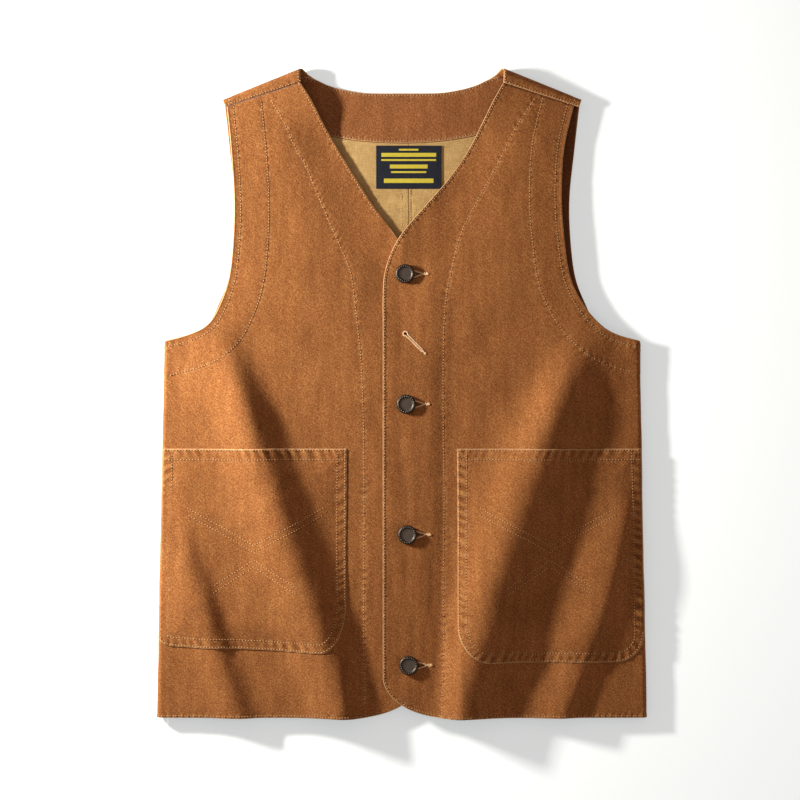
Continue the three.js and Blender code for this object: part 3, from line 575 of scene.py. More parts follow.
def placket_rise(side, across, down):
    """The free edge of the right front stands a little higher, except round the buttons."""
    if side < 0:
        return 0.0
    slope = np.clip((PLACKET_END - across) / (PLACKET_END + FRONT_OVERLAP / 2), 0, 1)
    free = smooth(down, FRONT_EDGE_DROP - 40, FRONT_EDGE_DROP + 60)
    lower = smooth(down, 300, BODY_LENGTH - 60)
    rise = lerp(PLACKET_RISE["top"], PLACKET_RISE["hem"], lower) * slope * free
    sink = PLACKET_RISE["sink"] * bell(across - PLACKET_END, 16) * smooth(down, 420, 560)
    points = map(button_point, range(BUTTON_COUNT))
    buttons = sum(bell(np.hypot(across - x, down - y), BUTTON_PRESS) for x, y in points)
    wrinkle = FRONT_RELIEF["wrinkle"] * wander(across, down * 0.11, 7, 14) * bell(across - 14, 30) * free
    return (rise + wrinkle) * (1 - np.clip(buttons, 0, 1)) - sink


class FrontSeams:
    """The stitched lines of a front, and the shape that they give its cloth."""

    def __init__(self, side, cut, lower):
        self.side = side
        chain = np.vstack([cut[0, ::-1], cut[1:, 0]])
        armhole = cut[lower - 1:, -1][::-1]
        self.edges = Lines([chain, armhole])
        self.all_edges = Lines([chain, armhole, cut[:lower, -1], cut[-1]])
        self.armhole = Lines([armhole])
        self.facing = spline(FACING_LINE[side], 200)
        whole = (inset(chain, sizes().edge_stitch), inset(armhole, sizes().armhole_stitch),
                 inset(armhole, ARMHOLE_STITCH[side]), self.facing)
        self.stitched = [part for line in whole for part in self.inside(line)]
        self.seams = Lines(self.stitched)

    def inside(self, line):
        """The stretches of a line that lie on the front and can be seen."""
        past = past_shoulder(line) < -np.where(line[:, 0] < SHOULDER_HALFWAY, SEAM_AT_NECK, SEAM_AT_TIP) - 1
        kept = past & (line[:, 0] < seam_line(line[:, 1]) - 0.5) & (line[:, 1] < BODY_LENGTH - 1)
        return runs(line, kept & ((line[:, 0] > HIDDEN_FROM) | (self.side > 0)))

    def relief(self, cut):
        """How far both faces stand off the middle of the cloth, and what the finish reads."""
        depth = FRONT_RELIEF
        across, down = cut[..., 0], cut[..., 1]
        from_edge, edge_along = self.edges.near(cut)
        from_any, from_armhole = self.all_edges.away(cut), self.armhole.away(cut)
        from_seam, along = self.seams.near(cut)
        facing_at = np.interp(down, self.facing[:, 1], self.facing[:, 0])
        faced = -self.side * smooth(facing_at - across, *PLY_STEP)
        faced = faced + depth["armhole"] * smooth(ARMHOLE_STITCH[self.side] - from_armhole, *PLY_STEP)
        hidden = smooth(across, *UNDER_PLACKET) if self.side < 0 else 1.0
        ridges = depth["ridges"] * wander(across, down * 0.11, 6.5, 15) * bell(across - 44, 24)
        ridges = ridges * smooth(down, 330, 560)
        roll = depth["roll"] * bell(from_edge - ROUND_REACH, 1.3)
        roll = roll + depth["edge"] * rope(edge_along, 5, 21) * bell(from_edge, 2)
        pucker = rope(along + 0.6 * from_seam, depth["pitch"], 22) * bell(from_seam, depth["reach"])
        groove = depth["groove"] * bell(from_seam, 2.0)
        extra = depth["plies"] * faced + roll + depth["pucker"] * pucker + ridges - groove
        body = ease(self.side * across, down) * hidden + placket_rise(self.side, across, down)
        half = rounded(from_any, SHELL_CLOTH / 2)
        top = body + half + extra * off_edge(from_any) * hidden
        # The puckers' height also goes to the finish, which paints them lighter on the crests and darker in
        # the valleys as shade
        return top, body - half, pair(from_edge, from_seam), pair(along, 0.6 * pucker)


# Meshes

def closed_sheet(name, places, normals, quads, top, bottom, layers):
    """A sheet with both faces, closed round its rim. Everything is given for one point per place."""
    quads = np.asarray(quads)
    sides = np.concatenate([quads[:, [k, (k + 1) % 4]] for k in range(4)])
    sides.sort(axis=1)
    ends, seen = np.unique(sides, axis=0, return_counts=True)
    rim = np.zeros(len(places), bool)
    rim[ends[seen == 1].ravel()] = True
    upper = places + normals * np.where(rim, 0, top)[:, None]
    lower = places + normals * np.where(rim, 0, bottom)[:, None]
    inner = np.flatnonzero(~rim)
    number = np.arange(len(places))
    number[inner] = len(places) + np.arange(len(inner))
    vertices = np.vstack([upper, lower[inner]])
    faces = np.vstack([quads, number[quads][:, ::-1]])
    source = np.concatenate([np.arange(len(places)), inner])
    mesh = bpy.data.meshes.new(name)
    mesh.from_pydata((vertices * MM).tolist(), [], faces.tolist())
    corners = np.zeros(len(mesh.loops), int)
    mesh.loops.foreach_get("vertex_index", corners)
    for layer, values in layers.items():
        uv = mesh.uv_layers.new(name=layer)
        uv.data.foreach_set("uv", values[source[corners]].astype(np.float32).ravel())
    return shaded_smooth(mesh)


def grid_quads(rows, columns, flipped):
    number = np.arange(rows * columns).reshape(rows, columns)
    quads = np.stack([number[:-1, :-1], number[:-1, 1:], number[1:, 1:], number[1:, :-1]], -1)
    quads = quads.reshape(-1, 4)
    return quads[:, ::-1] if flipped else quads


def shaded_smooth(mesh):
    mesh.polygons.foreach_set("use_smooth", np.ones(len(mesh.polygons), bool))
    mesh.update()
    return mesh


def placed(name, data):
    """A new object in the scene."""
    made = bpy.data.objects.new(name, data)
    bpy.context.scene.collection.objects.link(made)
    return made


def new_piece(name, mesh, material):
    mesh.materials.append(material)
    return placed(name, mesh)


def worked_out(thing):
    """An object's mesh as its modifiers leave it. The modifiers are removed."""
    graph = bpy.context.evaluated_depsgraph_get()
    made = bpy.data.meshes.new_from_object(thing.evaluated_get(graph), depsgraph=graph)
    thing.modifiers.clear()
    return made


def settled(piece, slot, *nodes):
    """Sets a finished piece on the vest's body, in place of its solids."""
    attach(piece, "root")
    if nodes:
        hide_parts(*nodes)
    return piece


def flat_area(cut):
    """Area of a grid of cut points, in square metres."""
    a, b, c, d = cut[:-1, :-1], cut[:-1, 1:], cut[1:, 1:], cut[1:, :-1]
    first, second = c - a, d - b
    return float(abs(first[..., 0] * second[..., 1] - first[..., 1] * second[..., 0]).sum()) / 2 * MM ** 2


def declare_cloth(piece, cut, mirrored=False):
    """Says what size a piece of cloth was cut to."""
    flat = cut.reshape(-1, 2)
    size = (flat.max(0) - flat.min(0)) * MM
    area = flat_area(cut)
    if mirrored:
        size[0] = 2 * flat[:, 0].max() * MM
        area *= 2


LAYERS = ("cut", "seams", "run")


def half_parts(side, cut, relief, place, lift=0.0, raised=0.0, shift=0.0):
    """Flat lists for one side's sheet: places, normals, quads, both faces' heights, then UV layers."""
    places, normals = laid(place, side, cut, lift)
    places = places + normals * np.asarray(raised)[..., None]
    top, bottom, seams, run = relief
    layers = (layer.reshape(-1, 2) for layer in (cut * (side, 1) * MM + shift, seams, run))
    return (places.reshape(-1, 3), normals.reshape(-1, 3), grid_quads(*cut.shape[:2], side < 0),
            top.ravel(), bottom.ravel(), *layers)


def sheet_piece(name, side, cut, relief, finish, slot, node, place=front_place, lift=0.0,
                raised=0.0, shift=0.0, more=None, holed=False):
    """One sheet of cloth on one side of the vest, from its cut points and its relief."""
    *parts, at, seams, run = half_parts(side, cut, relief, place, lift, raised, shift)
    layers = {**dict(zip(LAYERS, (at, seams, run))), **(more or {})}
    piece = new_piece(name, closed_sheet(name, *parts, layers), finish_of(finish))
    if holed:
        cut_buttonholes(piece)
    declare_cloth(settled(piece, slot, node), cut)


def mirrored_piece(name, cut, relief, finish, slot, node, lift=0.0, shift=0.0):
    """A sheet of the back that crosses the centre line, from the cut points of its right half."""
    left, right = (half_parts(side, cut, relief(cut, side), back_place, lift, 0.0, shift) for side in SIDES)
    stacked = [np.concatenate(values) for values in zip(left, right)]
    stacked[2][len(left[2]):] += len(left[0])
    places, normals, quads, high, low, *layers = stacked
    _, first, same = np.unique(np.round(places, 2), axis=0, return_index=True, return_inverse=True)
    quads = same.reshape(-1)[quads]
    quads = quads[[len(set(quad)) == 4 for quad in quads.tolist()]]
    layers = dict(zip(LAYERS, [layer[first] for layer in layers]))
    mesh = closed_sheet(name, places[first], normals[first], quads, high[first], low[first], layers)
    piece = settled(new_piece(name, mesh, finish_of(finish)), slot, node)
    declare_cloth(piece, cut, mirrored=True)


# Finishes

class Graph:
    """A node tree, with short ways to add and join its nodes."""

    def __init__(self, tree):
        self.nodes, self.links = tree.nodes, tree.links

    def add(self, kind, inputs=None, **settings):
        node = self.nodes.new(kind)
        for key, value in settings.items():
            setattr(node, key, value)
        for key, value in (inputs or {}).items():
            self.join(value, node.inputs[key])
        return node

    def join(self, value, socket):
        if isinstance(value, bpy.types.NodeSocket):
            self.links.new(value, socket)
        else:
            socket.default_value = value

    def maths(self, operation, a, b=0.0, clamp=False):
        return self.add("ShaderNodeMath", {0: a, 1: b}, operation=operation, use_clamp=clamp).outputs[0]

    def times(self, a, b, clamp=False):
        return self.maths("MULTIPLY", a, b, clamp)

    def plus(self, a, b, clamp=False):
        return self.maths("ADD", a, b, clamp)


class Finish(Graph):
    """A material made of nodes."""

    def __init__(self, name):
        old = bpy.data.materials.get(name)
        if old:
            bpy.data.materials.remove(old)
        self.material = bpy.data.materials.new(name)
        self.material.use_nodes = True
        super().__init__(self.material.node_tree)
        self.shader = self.nodes["Principled BSDF"]

    def ramp(self, value, low, high, out_low=0.0, out_high=1.0):
        values = {"Value": value, "From Min": low, "From Max": high, "To Min": out_low, "To Max": out_high}
        return self.add("ShaderNodeMapRange", values, interpolation_type="SMOOTHSTEP").outputs["Result"]

    def blend(self, share, a, b):
        values = {0: share, 6: a, 7: b}
        return self.add("ShaderNodeMix", values, data_type="RGBA", blend_type="MIX").outputs[2]

    def scaled(self, vector, x, y, z=1.0):
        return self.add("ShaderNodeMapping", {"Vector": vector, "Scale": (x, y, z)}).outputs["Vector"]

    def noise(self, vector, scale=1.0, detail=2.0, roughness=0.5):
        values = {"Vector": vector, "Scale": scale, "Detail": detail, "Roughness": roughness}
        return self.add("ShaderNodeTexNoise", values).outputs["Fac"]

    def grain(self, vector, length, width, turn=0.0, detail=2.0, roughness=0.5):
        """Noise whose spots have a length and width in metres, turned by an angle."""
        values = {"Vector": vector, "Scale": (length, width, 1.0), "Rotation": (0, 0, turn)}
        mapping = self.add("ShaderNodeMapping", values, vector_type="TEXTURE")
        return self.noise(mapping.outputs["Vector"], 1.0, detail, roughness)

    def summed(self, *terms):
        """Noises about their middle, each times its weight, added up."""
        total = None
        for noise, weight in terms:
            term = self.times(self.maths("SUBTRACT", noise, 0.5), weight)
            total = term if total is None else self.plus(total, term)
        return total

    def place(self):
        return self.add("ShaderNodeTexCoord").outputs["Object"]

    def layer(self, name):
        return self.add("ShaderNodeUVMap", uv_map=name).outputs["UV"]

    def parts(self, vector):
        node = self.add("ShaderNodeSeparateXYZ", {"Vector": vector})
        return node.outputs["X"], node.outputs["Y"]

    def face(self, colour, roughness, height, distance, sheen=0.0):
        self.join(colour, self.shader.inputs["Base Color"])
        self.join(roughness, self.shader.inputs["Roughness"])
        self.shader.inputs["Specular IOR Level"].default_value = 0.1
        self.shader.inputs["Sheen Weight"].default_value = sheen
        bump = self.add("ShaderNodeBump", {"Height": height, "Distance": distance, "Strength": 1.0})
        self.join(bump.outputs["Normal"], self.shader.inputs["Normal"])
        return self.material


def woven(finish, cut, thread):
    """Threads of a plain weave, in millimetres: their height and how their shade varies."""
    turn = 2 * math.pi / (thread * MM)
    warp, weft = (finish.maths("SINE", finish.times(way, turn)) for way in finish.parts(cut))
    fine, long = 1 / (thread * 1.6 * MM), 1 / (thread * 22 * MM)
    shade = finish.plus(finish.noise(finish.scaled(cut, fine, long)),
                        finish.noise(finish.scaled(cut, long, fine)))
    return finish.times(warp, weft), shade


# Direction of the canvas's flecks
TWILL = math.radians(38)


def canvas_finish(name, main, dark, light, worn=0.85):
    """Heathered cotton canvas that has faded along its edges and seams."""
    finish = Finish(name)
    cut = finish.layer("cut")
    from_edge, from_seam = finish.parts(finish.layer("seams"))
    along, pucker = finish.parts(finish.layer("run"))
    fleck = finish.grain(cut, 0.0024, 0.0013, TWILL, 1, 0.6)
    pin = finish.grain(cut, 0.0015, 0.0011, -TWILL, 0, 0.5)
    coarse = finish.grain(cut, 0.009, 0.004, TWILL, 2, 0.6)
    cloud = finish.grain(cut, 0.026, 0.05, 0.0, 3, 0.55)
    smear = finish.grain(cut, 0.007, 0.05, 0.0, 2, 0.5)
    blush = finish.grain(cut, 0.0032, 0.0019, TWILL, 1, 0.6)
    tone = finish.summed((fleck, 1.7), (pin, 1.6), (coarse, 0.8), (cloud, 0.9), (smear, 0.7))
    # Painted light and shade on the puckers: lighter on their crests, partly as wear, and darker in their
    # valleys as painted shade
    tone = finish.plus(tone, finish.times(pucker, 0.7))
    ruddy = finish.plus(finish.times(finish.ramp(cloud, 0.45, 0.7), 0.4),
                        finish.ramp(blush, 0.48, 0.64, 0, 0.5), clamp=True)
    colour = finish.blend(ruddy, main, colours().ruddy)
    colour = finish.blend(finish.times(tone, -1.0, clamp=True), colour, dark)
    colour = finish.blend(finish.times(tone, 1.0, clamp=True), colour, light)

    rubbed = finish.ramp(finish.noise(finish.scaled(cut, 240, 240), 1.0, 2), 0.25, 0.6, 0.45, 1.0)
    edge = finish.times(finish.ramp(from_edge, 0.3, 1.3, 1, 0), rubbed)
    colour = finish.blend(finish.times(edge, worn), colour, colours().worn)
    ridge = finish.times(finish.ramp(from_seam, 0.6, 1.2), finish.ramp(from_seam, 1.2, 3.6, 1, 0))
    way = finish.add("ShaderNodeCombineXYZ", {"X": along, "Y": from_seam}).outputs[0]
    patches = finish.ramp(finish.noise(finish.scaled(way, 0.22, 0.1), 1.0, 1), 0.5, 0.68)
    faded = finish.times(finish.times(ridge, patches), 0.22)
    colour = finish.blend(faded, colour, colours().worn)

    height = finish.summed((fleck, 1.3), (pin, 0.9), (coarse, 1.6))
    return finish.face(colour, finish.ramp(fleck, 0.2, 0.8, 0.95, 0.8), height, 0.00016, sheen=0.05)


def cotton_finish(name, main, dark, thread=0.4):
    """Plain cotton of the lining."""
    finish = Finish(name)
    cut = finish.layer("cut")
    height, shade = woven(finish, cut, thread)
    cloud = finish.noise(cut, 34, 3, 0.6)
    tone = finish.plus(finish.times(shade, 0.5), finish.times(cloud, 0.6))
    _, from_seam = finish.parts(finish.layer("seams"))
    near = finish.times(finish.ramp(from_seam, 0.2, 1.0, 1, 0), 0.6)
    colour = finish.blend(near, finish.blend(finish.ramp(tone, 0.6, 1.1), dark, main), dark)
    return finish.face(colour, finish.ramp(cloud, 0.2, 0.8, 0.9, 0.8), height, 0.00005)


def thread_finish(name, main, dark):
    """Twisted cotton thread."""
    finish = Finish(name)
    place = finish.place()
    spin = finish.add("ShaderNodeTexWave", {"Vector": place, "Scale": 900.0, "Distortion": 1.5},
                      bands_direction="DIAGONAL").outputs["Fac"]
    tint = finish.noise(place, 220, 2, 0.6)
    share = finish.plus(finish.times(spin, 0.35), finish.times(tint, 0.8), clamp=True)
    colour = finish.blend(share, dark, main)
    return finish.face(colour, finish.ramp(tint, 0.2, 0.8, 0.85, 0.65), spin, 0.00005)


def bronze_finish(name, main, bare, rubbed_from):
    """Aged metal, rubbed in the caps' dishes and on its high places."""
    finish = Finish(name)
    patina = finish.noise(finish.place(), 900, 4, 0.65)
    grain = finish.noise(finish.place(), 3200, 2, 0.5)
    dish, _ = finish.parts(finish.layer("dish"))
    share = finish.plus(finish.ramp(patina, rubbed_from, rubbed_from + 0.3), finish.times(dish, 0.7),
                        clamp=True)
    finish.shader.inputs["Metallic"].default_value = 0.85
    colour = finish.blend(share, main, bare)
    return finish.face(colour, finish.ramp(patina, 0.3, 0.7, 0.55, 0.36), grain, 0.00004)


# Rows of the label's bars: their middle, half height and half width as shares of the label
LABEL_BARS = (
    (0.905, 0.022, 0.15),
    (0.785, 0.046, 0.42),
    (0.665, 0.022, 0.42),
    (0.515, 0.046, 0.29),
    (0.385, 0.022, 0.27),
    (0.185, 0.052, 0.38),
)


def label_finish(name, ground, bar):
    """A woven label with plain bars in place of words."""
    finish = Finish(name)
    cut = finish.layer("cut")
    across, down = finish.parts(finish.layer("face"))
    height, shade = woven(finish, cut, 0.35)
    marks = None
    for middle, half, width in LABEL_BARS:
        row, reach = (finish.add("ShaderNodeMath", {0: way, 1: centre, 2: within}, operation="COMPARE")
                      for way, centre, within in ((down, middle, half), (across, 0.5, width)))
        mark = finish.times(row.outputs[0], reach.outputs[0])
        marks = mark if marks is None else finish.maths("MAXIMUM", marks, mark)
    tufts = finish.ramp(finish.noise(finish.scaled(cut, 1500, 800), 1.0, 1), 0.15, 0.4, 0.6, 1.0)
    marks = finish.times(marks, tufts)
    colour = finish.blend(finish.times(shade, 0.35), ground, (0.02, 0.023, 0.034, 1))
    colour = finish.blend(marks, colour, bar)
    raised = finish.plus(height, finish.times(marks, 3.0))
    return finish.face(colour, finish.ramp(shade, 0.6, 1.4, 0.75, 0.6), raised, 0.00006)


# Settings

def tint(description, *value):
    return bpy.props.FloatVectorProperty(description=description, default=(*value, 1.0), size=4,
                                         subtype="COLOR", min=0.0, max=1.0)


def number(description, value, **more):
    return bpy.props.FloatProperty(description=description, default=value, **more)


class VestColours(bpy.types.PropertyGroup):
    """Colours of the vest's finishes."""
    canvas: tint("Main colour of the shell", 0.244, 0.0885, 0.0242)
    canvas_dark: tint("Darker threads of the shell", 0.103, 0.032, 0.0078)
    canvas_light: tint("Lighter threads of the shell", 0.41, 0.19, 0.061)
    facing: tint("Main colour of the facings", 0.232, 0.082, 0.026)
    facing_dark: tint("Darker threads of the facings", 0.102, 0.033, 0.008)
    facing_light: tint("Lighter threads of the facings", 0.37, 0.17, 0.066)
    # Painted shade: the armhole facings get a darker canvas than the other facings, for the shade inside the
    # armholes
    armhole: tint("Facings inside the armholes", 0.105, 0.036, 0.012)
    ruddy: tint("Redder patches of the shell", 0.245, 0.071, 0.0195)
    worn: tint("Faded colour along edges and seams", 0.56, 0.32, 0.155)
    lining: tint("Main colour of the lining", 0.57, 0.375, 0.155)
    lining_dark: tint("Darker colour of the lining", 0.37, 0.22, 0.083)
    thread: tint("Colour of the stitches", 0.68, 0.43, 0.22)
    thread_dark: tint("Darker colour of the stitches", 0.45, 0.23, 0.095)
    hole_thread: tint("Colour round the buttonholes", 0.68, 0.44, 0.27)
    # Painted shade: the dark dots in the needle holes between the stitches
    needle_hole: tint("Colour between the stitches", 0.125, 0.043, 0.014)
    label: tint("Ground of the label", 0.009, 0.010, 0.017)
    bar: tint("Colour of the label's bars", 0.55, 0.44, 0.045)
    bronze: tint("Main colour of the buttons", 0.055, 0.043, 0.035)
    bronze_bare: tint("Colour of the buttons' rubbed places", 0.165, 0.135, 0.112)


class VestSizes(bpy.types.PropertyGroup):
    """Sizes of the stitching and the cloth's grid, in millimetres."""
    pitch: number("Distance between points of the fronts", 2.35, min=0.5)
    edge_stitch: number("Stitches from the front's edge", 2.2)
    armhole_stitch: number("Stitches from the armhole's edge", 7.0)
    stitch_pitch: number("Distance between stitches", 3.1, min=0.5)
    stitch_length: number("Length of a stitch", 1.8)
    stitch_width: number("Width of the thread", 0.8)
    pocket_outer: number("Outer stitches from the pocket's edge", 1.8)
    pocket_inner: number("Inner stitches from the pocket's edge", 9.6)
    pocket_mouth: number("Inner stitches from the pocket's mouth", 11.4)
    bead_count: bpy.props.IntProperty(description="Beads round a button", default=22, min=3)


class VestStage(bpy.types.PropertyGroup):
    """The studio that the vest lies in."""
    lamp_power: number("Strength of the lamp", 25.5)
    lamp_height: number("Angle of the lamp above the floor", math.radians(19), subtype="ANGLE")
    lamp_turn: number("How far the lamp stands towards the neck", math.radians(17), subtype="ANGLE")
    lamp_distance: number("From the vest's middle", 0.95, unit="LENGTH")
    lamp_width: number("Width of the lamp", 0.18, unit="LENGTH")
    lamp_depth: number("Height of the lamp's face", 0.06, unit="LENGTH")
    fill: number("Light from all round", 0.34)
    floor_glow: number("Light of the white floor itself", 0.37)
    camera_height: number("Above the floor", 2.2, unit="LENGTH")
    view_width: number("Width of the picture at the cloth", 0.832, unit="LENGTH")


def colours():
    return bpy.context.scene.vest_colours


def sizes():
    return bpy.context.scene.vest_sizes


def finish_of(name):
    """A finish by its name, made on first use."""
    found = bpy.data.materials.get(name)
    if found:
        return found
    c = colours()
    makers = {
        "shell_canvas": (canvas_finish, c.canvas, c.canvas_dark, c.canvas_light),
        "pocket_canvas": (canvas_finish, c.canvas, c.canvas_dark, c.canvas_light, 0.9),
        "facing_canvas": (canvas_finish, c.facing, c.facing_dark, c.facing_light),
        # Painted shade: a darker canvas on the armhole facings stands in for the shade inside the armholes
        "armhole_canvas": (canvas_finish, c.armhole, c.needle_hole, c.facing_dark, 0.1),
        "lining_cotton": (cotton_finish, c.lining, c.lining_dark),
        "seam_thread": (thread_finish, c.thread, c.thread_dark),
        # Painted shade of the needle holes between the stitches
        "needle_hole": (thread_finish, c.canvas_dark, c.needle_hole),
        "hole_thread": (thread_finish, c.hole_thread, c.thread),
        "label_weave": (label_finish, c.label, c.bar),
        "aged_bronze": (bronze_finish, c.bronze, c.bronze_bare, 0.55),
        "rubbed_bronze": (bronze_finish, c.bronze, c.bronze_bare, 0.3),
    }
    make, *values = makers[name]
    return make(name, *values)


# Stitches

# The hole inputs lay dark dots of painted shade for the needle holes between the stitches
STITCH_INPUTS = (
    ("Geometry", "Geometry", None), ("Pitch", "Float", 0.003), ("Length", "Float", 0.002),
    ("Width", "Float", 0.0008), ("Height", "Float", 0.0005), ("Sway", "Float", 0.1), ("Seed", "Int", 3),
    ("Thread", "Material", None), ("HoleShades", "Bool", True), ("Hole", "Material", None),
)


def stitch_tree():
    """Lays a stitch at even steps along the edges of a mesh whose points carry the cloth's up."""
    tree = bpy.data.node_groups.get("stitches")
    if tree:
        return tree
    tree = bpy.data.node_groups.new("stitches", "GeometryNodeTree")
    for name, kind, value in STITCH_INPUTS:
        socket = tree.interface.new_socket(name, in_out="INPUT", socket_type="NodeSocket" + kind)
        if value is not None:
            socket.default_value = value
    tree.interface.new_socket("Geometry", in_out="OUTPUT", socket_type="NodeSocketGeometry")
    graph = Graph(tree)
    given = graph.add("NodeGroupInput").outputs

    # Points at half the pitch: stitches on the even ones, and dark dots of painted shade for the needle
    # holes on the odd ones
    curve = graph.add("GeometryNodeMeshToCurve", {0: given["Geometry"]}).outputs[0]
    points = graph.add("GeometryNodeResampleCurve", mode="LENGTH")
    graph.join(curve, points.inputs["Curve"])
    graph.join(graph.times(given["Pitch"], 0.5), points.inputs["Length"])
    parity = graph.maths("MODULO", graph.add("GeometryNodeInputIndex").outputs[0], 2.0)
    even = graph.maths("LESS_THAN", parity, 0.5)
    odd = graph.add("FunctionNodeBooleanMath", {0: given["HoleShades"], 1: even}, operation="NIMPLY").outputs[0]
    bead, hole_shade_dot = (
        graph.add("GeometryNodeMeshUVSphere", {"Segments": segments, "Rings": rings, "Radius": radius})
        for segments, rings, radius in ((6, 4, 0.5), (5, 3, 0.4)))

    # Along the line and on the cloth, each turned and sized a little differently
    up = graph.add("GeometryNodeInputNamedAttribute", data_type="FLOAT_VECTOR")
    up.inputs["Name"].default_value = "up"
    tangent = graph.add("GeometryNodeInputTangent").outputs[0]
    turn = graph.add("FunctionNodeAxesToRotation", {0: up.outputs["Attribute"], 1: tangent},
                     primary_axis="Z", secondary_axis="X").outputs[0]
    sway = graph.add("FunctionNodeRandomValue", {"Seed": given["Seed"]}, data_type="FLOAT")
    low, high = (item for item in sway.inputs if item.type == "VALUE" and item.name in ("Min", "Max"))
    graph.join(graph.times(given["Sway"], -1.0), low)
    graph.join(given["Sway"], high)
    swayed = next(item for item in sway.outputs if item.type == "VALUE")
    spin = graph.add("ShaderNodeCombineXYZ", {"Z": swayed}).outputs[0]
    spin = graph.add("FunctionNodeEulerToRotation", {0: spin}).outputs[0]
    turned = graph.add("FunctionNodeRotateRotation", {0: turn, 1: spin}, rotation_space="LOCAL").outputs[0]
    vary = graph.add("FunctionNodeRandomValue", data_type="FLOAT_VECTOR")
    for key, value in ((0, (0.82, 0.85, 0.8)), (1, (1.15, 1.1, 1.1)), ("Seed", given["Seed"])):
        graph.join(value, vary.inputs[key])
    size = graph.add("ShaderNodeCombineXYZ", {
        axis: given[name] for axis, name in zip("XYZ", ("Length", "Width", "Height"))})
    scale = graph.add("ShaderNodeVectorMath", {0: vary.outputs[0], 1: size.outputs[0]}, operation="MULTIPLY")

    joined = graph.add("GeometryNodeJoinGeometry")
    for shape, chosen, material in ((bead, even, "Thread"), (hole_shade_dot, odd, "Hole")):
        lines = graph.add("GeometryNodeInstanceOnPoints", {
            "Points": points.outputs[0], "Selection": chosen, "Instance": shape.outputs["Mesh"],
            "Rotation": turned, "Scale": scale.outputs[0]})
        real = graph.add("GeometryNodeRealizeInstances", {0: lines.outputs[0]})
        smoothed = graph.add("GeometryNodeSetShadeSmooth", {0: real.outputs[0]})
        dressed = graph.add("GeometryNodeSetMaterial", {"Geometry": smoothed.outputs[0],
                                                        "Material": given[material]})
        graph.join(dressed.outputs[0], joined.inputs[0])
    graph.add("NodeGroupOutput", {0: joined.outputs[0]})
    return tree


def stitched(name, lines, material, pitch, size, seed, sway=0.08, holes=True):
    """Stitches along lines, each given as its places and the cloth's up there, in millimetres."""
    places = np.vstack([line[0] for line in lines])
    ups = np.vstack([line[1] for line in lines])
    edges, start = [], 0
    for line, _ in lines:
        edges += [(start + i, start + i + 1) for i in range(len(line) - 1)]
        start += len(line)
    mesh = bpy.data.meshes.new(name + "_path")
    mesh.from_pydata((places * MM).tolist(), edges, [])
    attribute = mesh.attributes.new("up", "FLOAT_VECTOR", "POINT")
    attribute.data.foreach_set("vector", ups.astype(np.float32).ravel())
    path = placed(name + "_path", mesh)
    modifier = path.modifiers.new("Stitches", "NODES")
    modifier.node_group = stitch_tree()
    length, width, height = (value * MM for value in size)
    values = {"Pitch": pitch * MM, "Length": length, "Width": width, "Height": height, "Sway": sway,
              "Seed": seed, "Thread": material, "HoleShades": holes, "Hole": finish_of("needle_hole")}
    for item in modifier.node_group.interface.items_tree:
        if item.item_type == "SOCKET" and item.in_out == "INPUT" and item.name in values:
            modifier[item.identifier] = values[item.name]
    path.update_tag()
    made = worked_out(path)
    bpy.data.objects.remove(path)
    made.name = name
    if not len(made.polygons):
        raise RuntimeError(f"{name} has no stitches")
    return placed(name, made)


# How high a stitch stands
STITCH_HEIGHT = 0.5


def seam_stitches(name, lines, seed, slot="canvas"):
    s = sizes()
    size = s.stitch_length, s.stitch_width, STITCH_HEIGHT
    return settled(stitched(name, lines, finish_of("seam_thread"), s.stitch_pitch, size, seed), slot)


# Fronts

@lru_cache(maxsize=None)
def front_seams(side):
    """A front's grid and seams, worked out once."""
    cut, lower = front_cut(side, sizes().pitch)
    return cut, FrontSeams(side, cut, lower)


def on_front(side, cut, above=0.2):
    """Places a little above a front's outer face, and the direction out of it."""
    places, normals = laid(front_place, side, cut)
    top = front_seams(side)[1].relief(cut)[0]
    return places + normals * (top + above)[..., None], normals


def make_front(side):
    cut, seams = front_seams(side)
    name = "front_" + SIDE_NAME[side]
    sheet_piece(name + "_canvas", side, cut, seams.relief(cut), "shell_canvas", "canvas", name,
                holed=side > 0)


def make_front_stitches(side):
    lines = [on_front(side, line) for line in front_seams(side)[1].stitched]
    seam_stitches(f"front_{SIDE_NAME[side]}_stitches", lines, 5 + side)


# Buttonholes

def button_point(index):
    share = index / (BUTTON_COUNT - 1)
    first = FRONT_EDGE_DROP - BUTTON_TOP_RISE
    last = BODY_LENGTH - BUTTON_FOOT_RISE
    return np.array([BUTTON_OFFSET + BUTTON_DRIFT * share, lerp(first, last, share)])


# A worked buttonhole's outline to the right of its button, as (along, half its width), how far its
# thread tail reaches, and how far the tails wander
HOLE_OUTLINE = ((-3.1, 0.0), (-2.2, 2.2), (0.0, 3.1), (4.0, 3.3), (9.5, 2.6), (13.5, 1.3), (16.5, 0.35),
                (17.5, 0.0))
HOLE_END = 23.5
WATCH_OUTLINE = ((-1.7, 0.0), (-1.2, 1.2), (0.0, 1.7), (1.2, 1.2), (2.0, 0.35), (21.0, 0.2), (26.0, 0.0))
WATCH_END = 29.0
TAIL_CURL = 1.3
KNOT_RADIUS = 0.8
RIM_OUTSET = 0.75
HOLE_THREAD = (0.75, 1.9, 0.9)


def hole_loop(outline):
    """The outline as a closed loop of points, anticlockwise."""
    outline = np.array(outline)
    return np.vstack([outline[:-1] * (1, -1), outline[::-1][:-1]])


def holes():
    """Every buttonhole: its place on the cut cloth, its turn and its outline."""
    found = [(button_point(i), 0.0, HOLE_OUTLINE, HOLE_END) for i in range(BUTTON_COUNT)]
    watch = lerp(button_point(0), button_point(1), WATCH_HOLE_PLACE)
    return [*found, (watch, math.pi / 4, WATCH_OUTLINE, WATCH_END)]


def in_cloth(points, centre, turn):
    """Points of a hole turned and moved to their place on the cut cloth."""
    c, s = math.cos(turn), math.sin(turn)
    x, y = points[..., 0], -points[..., 1]
    return centre + np.stack([c * x - s * y, s * x + c * y], -1)


